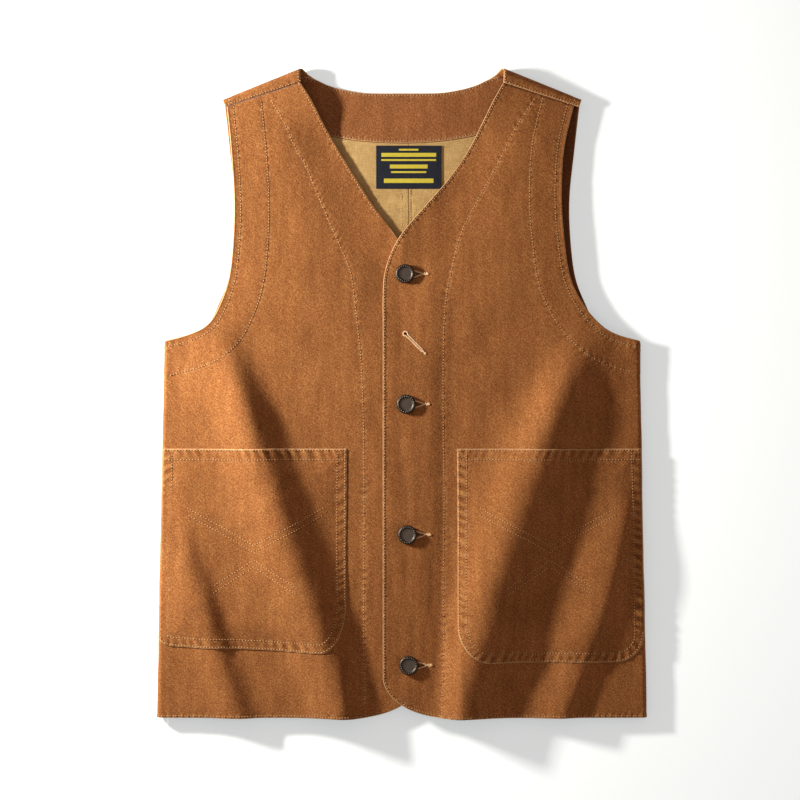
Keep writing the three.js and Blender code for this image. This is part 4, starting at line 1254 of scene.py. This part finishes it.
def cut_buttonholes(piece):
    """Cuts the holes through the right front, with one upright prism for each."""
    vertices, faces = [], []
    for centre, turn, outline, _ in holes():
        cut = in_cloth(hole_loop(outline), centre, turn)
        level = front_place(1, centre)[2]
        places = np.column_stack([cut[:, 0], BODY_LENGTH / 2 - cut[:, 1], np.full(len(cut), level)])
        start, count = len(vertices), len(cut)
        for height in (-2.2, 4.0):
            vertices += (places + (0, 0, height)).tolist()
        low = [start + i for i in range(count)]
        high = [start + count + i for i in range(count)]
        faces += [low[::-1], high]
        faces += [(low[i], low[(i + 1) % count], high[(i + 1) % count], high[i]) for i in range(count)]
    mesh = bpy.data.meshes.new("buttonhole_cutter")
    mesh.from_pydata((np.array(vertices) * MM).tolist(), [], faces)
    cutter = placed("buttonhole_cutter", mesh)
    modifier = piece.modifiers.new("Buttonholes", "BOOLEAN")
    modifier.operation, modifier.solver, modifier.object = "DIFFERENCE", "EXACT", cutter
    old = piece.data
    piece.data = shaded_smooth(worked_out(piece))
    bpy.data.meshes.remove(old)
    bpy.data.objects.remove(cutter)


def hole_threads():
    """Thread bars worked round the buttonholes, and the tails at their ends."""
    rims, tails = [], []
    for centre, turn, outline, end in holes():
        loop = hole_loop(outline)
        outward = moved_in(spaced(np.vstack([loop, loop[:1]]), 0.5), -RIM_OUTSET)
        run = np.linspace(0, 1, 60)
        curl = TAIL_CURL * np.sin(run * 5 * math.pi) * smooth(run, 0.2, 0.6) * (turn == 0)
        tail = np.column_stack([lerp(outline[-1][0], end, run), curl])
        angle = np.linspace(0, 2 * math.pi, 13)
        knot = (end, curl[-1]) + KNOT_RADIUS * np.column_stack([np.cos(angle), np.sin(angle)])
        rims.append(on_front(1, in_cloth(outward, centre, turn), 0.15))
        tails.append(on_front(1, in_cloth(knot, centre, turn), 0.3))
        tails.append(on_front(1, in_cloth(tail, centre, turn), 0.2))
    piece = stitched("buttonhole_threads", rims + tails, finish_of("hole_thread"), 0.5, HOLE_THREAD, 8,
                     sway=0.25, holes=False)
    settled(piece, "canvas")


# Pockets

def corner_rise(corner, from_edge):
    """How far a pocket's foot is drawn up in a rounded corner, given as (width, height)."""
    width, height = corner
    cut = np.clip(1 - from_edge / width, 0, 1)
    return height * (1 - np.sqrt(1 - cut * cut))


def pocket_cut(side, pitch):
    """A grid over a pocket, on the cloth of its front, from its foot to its mouth."""
    foot = pocket_foot(side)
    edge = -FRONT_OVERLAP / 2
    outer = seam_line(ARMHOLE_DROP)
    width = outer - POCKET_SIDE_GAP - POCKET_INSET
    reach = graded(width, pitch, far=SIDE_STEPS)
    rise = graded(foot - POCKET_MOUTH_DROP, pitch)
    corners = POCKET_CORNERS[side]
    drawn = corner_rise(corners["inner"], reach) + corner_rise(corners["outer"], width - reach)
    height = max(corners["inner"][1], corners["outer"][1])
    wanted = rise[:, None] + drawn[None] * np.maximum(1 - rise[:, None] / (height * 2), 0)
    share = np.broadcast_to((POCKET_INSET + reach - edge) / (outer - edge), wanted.shape)
    inner_end, outer_end = front_row(side, foot - wanted)
    return lerp(inner_end, outer_end, share[..., None])


# How far down the left pocket's outer edge shows a second line of stitches
SIDE_STITCH_LENGTH = 38.0
POCKET_FOOT_LINE = BODY_LENGTH - POCKET_FOOT_RISE

# Where the weave of the pockets starts, so that it differs from the fronts'
POCKET_SHIFT = (0.31, 0.17)


class PocketSeams:
    """A pocket's stitched lines and the shape that they give its cloth."""

    def __init__(self, side, cut):
        s = sizes()
        self.side = side
        foot_and_edge = np.vstack([cut[0, ::-1], cut[1:, 0]])
        ring = np.vstack([foot_and_edge, cut[-1, 1:], cut[-2:0:-1, -1], cut[:1, -1]])
        mouth, outer_edge = cut[-1], cut[::-1, -1]
        self.edges = Lines([ring])
        self.mouth = Lines([mouth])
        self.rim = Lines([foot_and_edge, outer_edge])
        second = inset(outer_edge, s.pocket_inner)
        if side < 0:
            second = second[second[:, 1] < cut[-1, -1, 1] + SIDE_STITCH_LENGTH]
        self.stitched = [inset(foot_and_edge, s.pocket_outer), inset(mouth, s.pocket_outer),
                         inset(mouth, s.pocket_mouth),
                         *self.trimmed(inset(foot_and_edge, s.pocket_inner), cut),
                         *self.trimmed(second, cut)]
        self.motif = pocket_motif()
        self.seams = Lines(self.stitched)
        self.light = Lines(self.motif)

    @staticmethod
    def trimmed(line, cut):
        """A line without what would run past the others at its ends."""
        mouth, s = cut[-1, 0, 1], sizes()
        low = np.interp(line[:, 0], cut[0, :, 0], cut[0, :, 1]) - s.pocket_inner + 1
        return runs(line, (line[:, 1] > mouth + s.pocket_outer) & (line[:, 1] < low + s.pocket_inner))

    def relief(self, cut):
        """How far both faces stand off the middle of the cloth, and what the finish reads."""
        depth, inner = POCKET_RELIEF, sizes().pocket_inner
        from_edge, edge_along = self.edges.near(cut)
        from_mouth, from_rim, from_light = (lines.away(cut) for lines in (self.mouth, self.rim, self.light))
        from_seam, along = self.seams.near(cut)
        turned = np.maximum(smooth(sizes().pocket_mouth + 0.8 - from_mouth, -1, 1),
                            depth["side"] * smooth(inner + 0.8 - from_rim, -1, 1))
        roll = depth["roll"] * bell(from_edge - 1.0, 1.3)
        band = bell(from_edge - inner / 2, inner * 0.62)
        if self.side < 0:
            outer = smooth(cut[..., 0], HALF_CHEST - 28, HALF_CHEST - 18)
            plain = outer * smooth(from_mouth, SIDE_STITCH_LENGTH - 8, SIDE_STITCH_LENGTH)
            band = band * (1 - 0.85 * plain * smooth(POCKET_FOOT_LINE - cut[..., 1], 14, 24))
        pucker = rope(edge_along + 0.4 * from_edge, depth["pitch"], 31 + self.side) * band
        small = depth["small"] * rope(along, 5, 34) * bell(from_seam, 2.5)
        groove = depth["groove"] * bell(from_seam, 2.0) + depth["quilting"] * bell(from_light, 2.0)
        extra = depth["plies"] * turned + roll + depth["pucker"] * pucker + small - groove
        x, down = self.side * cut[..., 0], cut[..., 1]
        body = ease(x, down) + depth["loose"] * wander(x, down, 15, 37) * smooth(from_edge, 8, 30)
        half = rounded(from_edge, POCKET_CLOTH / 2 * lerp(0.65, 1, smooth(from_edge, 2, 14)))
        # The puckers' height also goes to the finish, which paints them lighter on the crests and darker in
        # the valleys as shade
        return (body + half + extra * off_edge(from_edge), body - half,
                pair(from_edge, from_seam), pair(along, pucker))


def pocket_lift(cut, from_edge):
    """How far a pocket's cloth lies above the front: pressed down at its edge, loose inside it."""
    pressed = SHELL_CLOTH / 2 + POCKET_CLOTH * 0.33 + 0.12
    loose = (SHELL_CLOTH + POCKET_CLOTH) / 2 + POCKET_GAP + POCKET_EASE
    return lerp(pressed, loose, smooth(from_edge, 0, POCKET_EASE_WIDTH))


# The plain quilted ornament: two pairs of chevrons, as the half width of each, then how far its ends
# and its point are below the mouth, and how far and which way its second line is moved
CHEVRONS = ((70, 62, 100, 7.0), (44, 150, 122, -7.0))


def pocket_motif():
    """The ornament's lines, on the cloth of the front."""
    middle = (POCKET_INSET + HALF_CHEST) / 2
    lines = []
    for second in (0, 1):
        for reach, ends, point, gap in CHEVRONS:
            low, tip = (POCKET_MOUTH_DROP + down + second * gap for down in (ends, point))
            lines.append([(middle - reach, low), (middle, tip), (middle + reach, low)])
    return [spaced(line, LINE_STEP) for line in lines]


@lru_cache(maxsize=None)
def pocket_seams(side):
    """A pocket's grid and seams, worked out once."""
    cut = pocket_cut(side, sizes().pitch * 0.86)
    return cut, PocketSeams(side, cut)


def on_pocket(side, cut, above):
    """Places a little above a pocket's outer face, and the direction out of it."""
    seams = pocket_seams(side)[1]
    places, normals = laid(front_place, side, cut)
    lift = pocket_lift(cut, seams.edges.away(cut))
    return places + normals * (seams.relief(cut)[0] + lift + above)[..., None], normals


def make_pocket(side):
    cut, seams = pocket_seams(side)
    name = "pocket_" + SIDE_NAME[side]
    lift = pocket_lift(cut, seams.edges.away(cut))
    sheet_piece(name + "_canvas", side, cut, seams.relief(cut), "pocket_canvas", "canvas", name,
                raised=lift, shift=POCKET_SHIFT)
    for end, lines, above, seed in (("_stitches", seams.stitched, 0.15, 15),
                                    ("_quilting", seams.motif, 0.08, 25)):
        places = [on_pocket(side, line, above) for line in lines if len(line) > 3]
        seam_stitches(name + end, places, seed + side)


# The back and what lies inside it

def half_rows(foot, outer_at, inner, outer):
    """The inner and outer ends of a half's rows: level ones to the underarm, then the given ones."""
    rows = spaced([(0, foot), (0, ARMHOLE_DROP)], INSIDE_PITCH)[:-1, 1]
    return (np.vstack([pair(inner[0][0], rows), inner]), np.vstack([pair(outer_at(rows), rows), outer]))


def up_the_middle(points):
    """The centre line from the underarm up to a curve, then the curve."""
    count = UPPER_ROWS - NECK_ROWS
    straight = pair(points[0][0], np.linspace(ARMHOLE_DROP, points[0][1], count + 1)[:-1])
    return np.vstack([straight, points])


NECK_CURVE = np.array([(out * NECK_WIDTH / 2, down * BACK_NECK_DROP) for out, down in BACK_NECK])
INSIDE_PITCH = 4.0
UPPER_ROWS = 90
NECK_ROWS = 42
WRAP_ROWS = 16

# How far in from its edges the back is stitched
BACK_STITCHES = {"hem": 2.4, "shoulder": 1.8, "neck": 2.0, "armhole": 7.0}


def back_cut():
    """A grid over half the back, from the hem over the shoulder to the seam."""
    neck_top = by_shoulder(-NECK_SLANT / 2, -NECK_RADIUS)
    tip_top = by_shoulder(SHOULDER_LENGTH * ARMHOLE_END[0], -TIP_RADIUS)
    inner = up_the_middle(spline([*NECK_CURVE, neck_top], NECK_ROWS))
    inner, outer = half_rows(BODY_LENGTH, seam_line, inner, spline(armhole_points(0, tip_top), UPPER_ROWS))
    neck_seam = NECK_RADIUS * (math.pi - 2) + SEAM_AT_NECK + SEAM_GAP * 0.3
    tip_seam = TIP_RADIUS * (math.pi - 2) + SEAM_AT_TIP + SEAM_GAP * 0.3
    wrapped = [(by_shoulder(lerp(-NECK_SLANT / 2, NECK_SLANT, share), lerp(-NECK_RADIUS, neck_seam, share)),
                by_shoulder(SHOULDER_LENGTH, lerp(-TIP_RADIUS, tip_seam, share)))
               for share in np.linspace(0, 1, WRAP_ROWS + 1)[1:]]
    inner, outer = (np.vstack([line, ends]) for line, ends in zip((inner, outer), zip(*wrapped)))
    width = seam_line(ARMHOLE_DROP)
    shares = graded(width, INSIDE_PITCH, near=np.array([0, INSIDE_PITCH]), far=SIDE_STEPS) / width
    cut = between(inner, outer, shares)
    near = smooth(cut[..., 1], BODY_LENGTH - BACK_HEM_HEIGHT, BODY_LENGTH)
    cut[..., 1] -= BACK_HEM_RISE * near * (1 - smooth(cut[..., 0], 0, BACK_HEM_REACH))
    return cut


def make_back():
    cut = back_cut()
    neck = cut[int((cut[:, 0, 0] < 1e-6).sum()) - 1:, 0]
    side_down = cut[:, -1, 1]
    armhole = cut[side_down <= ARMHOLE_DROP, -1]
    edges = Lines([cut[0], armhole, cut[-1], neck, cut[side_down >= ARMHOLE_DROP, -1]])
    stitched_edges = {"hem": cut[0, ::-1], "shoulder": cut[-1], "neck": neck, "armhole": armhole[::-1]}
    lines = [inset(edge, BACK_STITCHES[name]) for name, edge in stitched_edges.items()]
    seams = Lines(lines)

    def relief(points, side):
        from_edge = edges.away(points)
        from_seam, along = seams.near(points)
        inside = smooth(from_edge, 0, 1)
        groove = 0.35 * bell(from_seam, 1.0) * inside
        drawn = 0.2 * rope(along, 6.5, 41) * bell(from_seam, 4) * inside
        half = rounded(from_edge, SHELL_CLOTH / 2)
        flat = smooth(-past_shoulder(points), 2, 12)
        flat = flat * smooth(side_line(points[..., 1]) - points[..., 0], 2, 9)
        return (half, -half + (groove - drawn) * (1 - flat) + 0.25 * groove * flat,
                pair(from_edge, from_seam), pair(along, 0))

    mirrored_piece("back_canvas", cut, relief, "shell_canvas", "canvas", "back")
    stitches = []
    for side in SIDES:
        for line in lines:
            places, normals = laid(back_place, side, line)
            kept = (line[:, 1] < BODY_LENGTH) & (line[:, 0] < seam_line(line[:, 1]))
            stitches.append((places[kept] - normals[kept] * (SHELL_CLOTH / 2 + 0.02), -normals[kept]))
    seam_stitches("back_stitches", [line for line in stitches if len(line[0]) > 3], 45)


def armhole_inside(distance):
    """The armhole's line on the inner plies, at a distance from its edge."""
    curve = spline(armhole_points(0, by_shoulder(SHOULDER_LENGTH, WRAP_EDGE)), UPPER_ROWS)
    moved = moved_in(curve[::-1], distance)[::-1]
    moved[:, 0] = np.minimum(moved[:, 0], side_line(moved[:, 1]) - FLAT_EDGE)
    moved[-1] = by_shoulder(SHOULDER_LENGTH - distance, WRAP_EDGE)
    return moved


def facing_curve(gap, count):
    """The lower edge of the neck facing, from the centre line out to the shoulder."""
    foot = BACK_NECK_DROP + FACING_DEPTH + gap
    end = by_shoulder(FACING_AT_SHOULDER + gap, WRAP_EDGE)
    points = np.array([(0, foot), (end[0] * FACING_BEND["foot"], foot),
                       (end[0] * FACING_BEND["out"], lerp(foot, end[1], FACING_BEND["up"])), end])
    t = np.linspace(0, 1, 200)[:, None]
    weights = ((1 - t) ** 3, 3 * t * (1 - t) ** 2, 3 * t * t * (1 - t), t ** 3)
    return evened(sum(weight * point for weight, point in zip(weights, points)), count)


def ply_relief(edges, seams, depth=0.22, pucker=0.18):
    """The relief of a thin ply inside the back."""
    def relief(points, side):
        from_edge = edges.away(points)
        from_seam, along = seams.near(points)
        half = rounded(from_edge, LINING_CLOTH / 2)
        groove = depth * bell(from_seam, 0.9) * off_edge(from_edge)
        drawn = pucker * rope(along, 6, 51) * bell(from_seam, 4) * off_edge(from_edge)
        loose = 0.12 * wander(side * points[..., 0], points[..., 1], 24, 52) * smooth(from_edge, 1, 8)
        # The puckers' height also goes to the finish, which paints them lighter on the crests and darker in
        # the valleys as shade
        return half - groove + drawn + loose, -half, pair(from_edge, from_seam), pair(along, drawn / depth)
    return relief


def inside_stitches(name, lines, above, seed, slot):
    """Stitches on plies of the back, given as (side, cut line)."""
    made = []
    for side, line in lines:
        places, normals = laid(back_place, side, line, LINING_LIFT)
        made.append((places + normals * above, normals))
    seam_stitches(name, made, seed, slot)


# How far from the centre seam each half of the lining is stitched
LINING_STITCH = {-1: 7.0, 1: 2.0}

# Where the facings' weave starts
NECK_SHIFT = 0.23
ARMHOLE_SHIFT = 0.4


def make_lining(side):
    """Half the lining, between the centre seam, the hem, the armhole facing and the neck facing."""
    seam = side * LINING_SEAM_OFFSET + PLY_GAP / 2
    top = facing_curve(PLY_GAP * 2, NECK_ROWS * 4)
    top = np.vstack([(seam, top[0, 1]), top[top[:, 0] > max(seam, 0) + 0.5]])
    outer = armhole_inside(ARMHOLE_FACING_WIDTH + PLY_GAP * 2)
    inner, outer = half_rows(BODY_LENGTH - LINING_HEM, lambda down: side_line(down) - FLAT_EDGE,
                             up_the_middle(evened(top, NECK_ROWS)), outer)
    width = seam_line(ARMHOLE_DROP)
    cut = between(inner, outer, graded(width, INSIDE_PITCH) / width)
    line = spaced(cut[:len(inner) - NECK_ROWS, 0] + (LINING_STITCH[side], 0), LINE_STEP)
    relief = ply_relief(Lines([ring_of(cut)]), Lines([line]), pucker=0.3)
    name = SIDE_NAME[side]
    sheet_piece("lining_" + name, side, cut, relief(cut, side), "lining_cotton", "lining",
                "back_lining_" + name, back_place, LINING_LIFT)
    inside_stitches(f"lining_{name}_stitches", [(side, line)], LINING_CLOTH / 2 - 0.1, 55 + side, "lining")


def make_neck_facing():
    upper = spline([*(NECK_CURVE + (0, PLY_GAP)), by_shoulder(0, WRAP_EDGE)], NECK_ROWS * 2)
    lower = facing_curve(0, NECK_ROWS * 2)
    shares = graded(FACING_DEPTH, 3.0) / FACING_DEPTH
    cut = lerp(lower[None], upper[None], shares[:, None, None])
    lines = [inset(lower[::-1], 2.0), inset(upper, 2.2)]
    relief = ply_relief(Lines([lower, upper, cut[:, -1]]), Lines(lines), pucker=0.12)
    mirrored_piece("neck_facing", cut, relief, "facing_canvas", "facing", "back_neck_facing",
                   LINING_LIFT, NECK_SHIFT)
    both_sides = [(side, line) for side in SIDES for line in lines]
    inside_stitches("neck_facing_stitches", both_sides, LINING_CLOTH / 2 - 0.05, 61, "facing")


def make_armhole_facing(side):
    inner, outer = armhole_inside(ARMHOLE_FACING_WIDTH), armhole_inside(PLY_GAP)
    cut = between(inner, outer, graded(ARMHOLE_FACING_WIDTH, 2.5) / ARMHOLE_FACING_WIDTH)
    line = inset(inner, 2.0)
    relief = ply_relief(Lines([ring_of(cut)]), Lines([line]))
    name = SIDE_NAME[side]
    # The darker canvas of these facings is painted shade inside the armholes
    sheet_piece("armhole_facing_cloth_" + name, side, cut, relief(cut, side), "armhole_canvas", "facing",
                "armhole_facing_" + name, back_place, LINING_LIFT, shift=ARMHOLE_SHIFT)
    inside_stitches(f"armhole_facing_{name}_stitches", [(side, line)], LINING_CLOTH / 2 - 0.05, 65 + side,
                    "facing")


def make_label():
    top = BACK_NECK_DROP + FACING_DEPTH + LABEL_GAP
    across = LABEL_OFFSET - LABEL_WIDTH / 2 + graded(LABEL_WIDTH, 1.2)
    down = top + LABEL_HEIGHT - graded(LABEL_HEIGHT, 1.2)
    cut = pair(across[None], down[:, None])
    from_edge, along = Lines([ring_of(cut)]).near(cut)
    half = rounded(from_edge, LABEL_CLOTH / 2)
    curl = 0.15 * wander(cut[..., 0], cut[..., 1], 18, 71)
    high = half - 0.25 * bell(from_edge - 2.0, 0.7) * off_edge(from_edge) + curl * smooth(from_edge, 0, 3)
    share = pair((across[None] - across[0]) / LABEL_WIDTH, (down[0] - down[:, None]) / LABEL_HEIGHT)
    relief = high, -half, pair(from_edge, 20), pair(along, 0)
    sheet_piece("label_cloth", 1, cut, relief, "label_weave", "label", "neck_label",
                back_place, LABEL_LIFT, more={"face": share.reshape(-1, 2)})


# Buttons

# A button's cap: shares of its radius and height
CAP_PROFILE = (
    (0.8, 0.0), (0.93, 0.08), (1.0, 0.3), (1.0, 0.5), (0.97, 0.72), (0.91, 0.88), (0.84, 0.93),
    (0.72, 0.86), (0.68, 0.72), (0.64, 0.68), (0.5, 0.7), (0.25, 0.71), (0.0, 0.72),
)
CAP_SIDES = 64
SEAT = OVERLAP_LIFT + SHELL_CLOTH / 2 + PLY_GAP

# The cap's dish and its ring of beads, as shares of the cap's radius and height
DISH_REACH = 0.66
BEAD_REACH = 0.81
BEAD_HEIGHT = 0.93
BEAD_SIZE = (1.4, 1.9, 1.7)


def placket_matrix(cut):
    """Where a button sits: on the left front, under the overlap, with Z out of the cloth."""
    places, normals = laid(front_place, 1, cut)
    place = places - normals * OVERLAP_LIFT
    turn = Vector((0, 0, 1)).rotation_difference(Vector(normals))
    return Matrix.Translation(Vector(place * MM)) @ turn.to_matrix().to_4x4()


def button_mesh(name):
    """A tack, a post and a cap, turned as one closed body."""
    radius, post, tack = BUTTON_DIAMETER / 2, POST_DIAMETER / 2, TACK_DIAMETER / 2
    top = -SHELL_CLOTH / 2 - PLY_GAP
    foot = top - TACK_THICKNESS
    profile = [(0, foot), (tack * 0.9, foot), (tack, top - TACK_THICKNESS * 0.6), (tack, top), (post, top),
               (post, SEAT), *((radius * out, SEAT + BUTTON_HEIGHT * up) for out, up in CAP_PROFILE)]
    rings = profile[1:-1]
    angles = np.linspace(0, 2 * math.pi, CAP_SIDES, endpoint=False)
    vertices = [(0, 0, foot)]
    for out, up in rings:
        vertices += [(out * math.cos(a), out * math.sin(a), up) for a in angles]
    vertices.append((0, 0, profile[-1][1]))
    faces = []
    last_ring, last = len(vertices) - 1 - CAP_SIDES, len(vertices) - 1
    for k in range(CAP_SIDES):
        n = (k + 1) % CAP_SIDES
        faces.append((0, 1 + n, 1 + k))
        for low in range(1, last_ring, CAP_SIDES):
            high = low + CAP_SIDES
            faces.append((low + k, low + n, high + n, high + k))
        faces.append((last_ring + k, last_ring + n, last))
    mesh = bpy.data.meshes.new(name)
    mesh.from_pydata((np.array(vertices) * MM).tolist(), [], faces)
    dish = mesh.uv_layers.new(name="dish")
    inside = [vertex.co.z > SEAT * MM and math.hypot(vertex.co.x, vertex.co.y) < radius * DISH_REACH * MM
              for vertex in mesh.vertices]
    for corner, loop in zip(dish.data, mesh.loops):
        corner.uv = (inside[loop.vertex_index], 0)
    return shaded_smooth(mesh)


def make_buttons():
    rims = []
    lift, reach = (SEAT + BUTTON_HEIGHT * BEAD_HEIGHT) * MM, BUTTON_DIAMETER / 2 * BEAD_REACH * MM
    for i in range(BUTTON_COUNT):
        matrix = placket_matrix(button_point(i))
        mesh = button_mesh(f"button_cap_{i + 1}")
        mesh.transform(matrix)
        settled(new_piece(mesh.name, mesh, finish_of("aged_bronze")), "bronze", f"button_{i + 1}")
        ring = [matrix @ Vector((math.cos(a) * reach, math.sin(a) * reach, lift))
                for a in np.linspace(0, 2 * math.pi, 145)]
        up = matrix.to_3x3() @ Vector((0, 0, 1))
        rims.append((np.array(ring) / MM, np.tile(np.array(up), (len(ring), 1))))
    pitch = math.pi * BUTTON_DIAMETER * BEAD_REACH / sizes().bead_count
    beads = stitched("button_beads", rims, finish_of("rubbed_bronze"), pitch, BEAD_SIZE, 81, holes=False)
    settled(beads, "bronze")


# The stage

# Where the camera stands over the vest, and the tints of the lights
CAMERA_PLACE = (-0.0021, -0.0073)
LAMP_TINT = (1.0, 1.0, 0.93)
ROOM_TINT = (1.12, 0.92, 0.82, 1)
FLOOR_TINT = (0.85, 1.03, 1.09, 1)
FLOOR_REACH = 6.0
FLOOR_LEVEL = -0.0003


def make_stage():
    stage = bpy.context.scene.vest_stage
    finish = Finish("white_paper")
    grain = finish.noise(finish.place(), 300, 2)
    shade = finish.ramp(grain, 0.0, 1.0, 0.9, 0.93)
    colour = finish.add("ShaderNodeCombineColor", {0: shade, 1: shade, 2: shade}).outputs[0]
    finish.face(colour, 0.95, grain, 0.00002)
    finish.shader.inputs["Emission Color"].default_value = FLOOR_TINT
    finish.shader.inputs["Emission Strength"].default_value = stage.floor_glow
    mesh = bpy.data.meshes.new("floor")
    corners = [(x * FLOOR_REACH, y * FLOOR_REACH, FLOOR_LEVEL)
               for x, y in ((-1, -1), (1, -1), (1, 1), (-1, 1))]
    mesh.from_pydata(corners, [], [(0, 1, 2, 3)])
    new_piece("floor", mesh, finish.material)

    lamp = bpy.data.lights.new("window_lamp", "AREA")
    lamp.shape, lamp.energy, lamp.color = "RECTANGLE", stage.lamp_power, LAMP_TINT
    lamp.size, lamp.size_y = stage.lamp_width, stage.lamp_depth
    holder = placed("window_lamp", lamp)
    low, turn = stage.lamp_height, stage.lamp_turn
    away = Vector((-math.cos(low) * math.cos(turn), math.cos(low) * math.sin(turn), math.sin(low)))
    holder.location = away * stage.lamp_distance
    holder.rotation_euler = away.to_track_quat("Z", "Y").to_euler()

    world = bpy.data.worlds.new("soft_room")
    world.use_nodes = True
    background = world.node_tree.nodes["Background"].inputs
    background["Color"].default_value = ROOM_TINT
    background["Strength"].default_value = stage.fill
    bpy.context.scene.world = world

    camera = bpy.data.cameras.new("camera")
    camera.sensor_width = 36
    camera.lens = camera.sensor_width * (stage.camera_height - BODY_HEIGHT * MM) / stage.view_width
    camera.clip_start, camera.clip_end = 0.05, 20
    stand = placed("camera", camera)
    stand.location = (*CAMERA_PLACE, stage.camera_height)
    bpy.context.scene.camera = stand
    bpy.context.scene.view_settings.view_transform = "Standard"


# Operators and panel

def operator(name, label, doc, work):
    """An operator that runs one job, and raises if it can't."""
    def execute(self, context):
        work()
        return {"FINISHED"}
    words = {"__doc__": doc, "bl_idname": "vest." + name, "bl_label": label, "execute": execute}
    return type("VEST_OT_" + name, (bpy.types.Operator,), words)


def both(work):
    def run():
        for side in SIDES:
            work(side)
    return run


JOBS = (
    operator("stage", "Stage", "Sets the floor, the lamp and the camera", make_stage),
    operator("back", "Back", "Makes the back and its stitches", make_back),
    operator("lining", "Lining", "Makes the two halves of the lining", both(make_lining)),
    operator("neck_facing", "Neck facing", "Makes the facing of the back neck", make_neck_facing),
    operator("armhole_facings", "Armhole facings", "Makes the facings of the armholes",
             both(make_armhole_facing)),
    operator("label", "Label", "Makes the plain woven label", make_label),
    operator("fronts", "Fronts", "Makes both fronts", both(make_front)),
    operator("front_stitches", "Front stitches", "Stitches the fronts", both(make_front_stitches)),
    operator("buttonholes", "Buttonholes", "Works thread round the buttonholes", hole_threads),
    operator("pockets", "Pockets", "Makes the pockets and their stitches", both(make_pocket)),
    operator("buttons", "Buttons", "Makes the metal buttons", make_buttons),
)


class VEST_PT_panel(bpy.types.Panel):
    """Lists the vest's pieces and settings."""
    bl_idname = "VEST_PT_panel"
    bl_label = "Vest"
    bl_space_type = "VIEW_3D"
    bl_region_type = "UI"
    bl_category = "Vest"

    def draw(self, context):
        for job in JOBS:
            self.layout.operator(job.bl_idname)
        for name, group in GROUPS.items():
            box = self.layout.box()
            for key in group.__annotations__:
                box.prop(getattr(context.scene, name), key, text=key.replace("_", " ").capitalize())


GROUPS = {"vest_colours": VestColours, "vest_sizes": VestSizes, "vest_stage": VestStage}


def register():
    for group in (*GROUPS.values(), *JOBS, VEST_PT_panel):
        bpy.utils.register_class(group)
    for name, group in GROUPS.items():
        setattr(bpy.types.Scene, name, bpy.props.PointerProperty(type=group))


def unregister():
    for name in GROUPS:
        delattr(bpy.types.Scene, name)
    for group in reversed((*GROUPS.values(), *JOBS, VEST_PT_panel)):
        bpy.utils.unregister_class(group)


def main():
    register()
    for job in JOBS:
        getattr(bpy.ops.vest, job.bl_idname.split(".")[1])()
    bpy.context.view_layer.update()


if __name__ == "__main__":
    main()
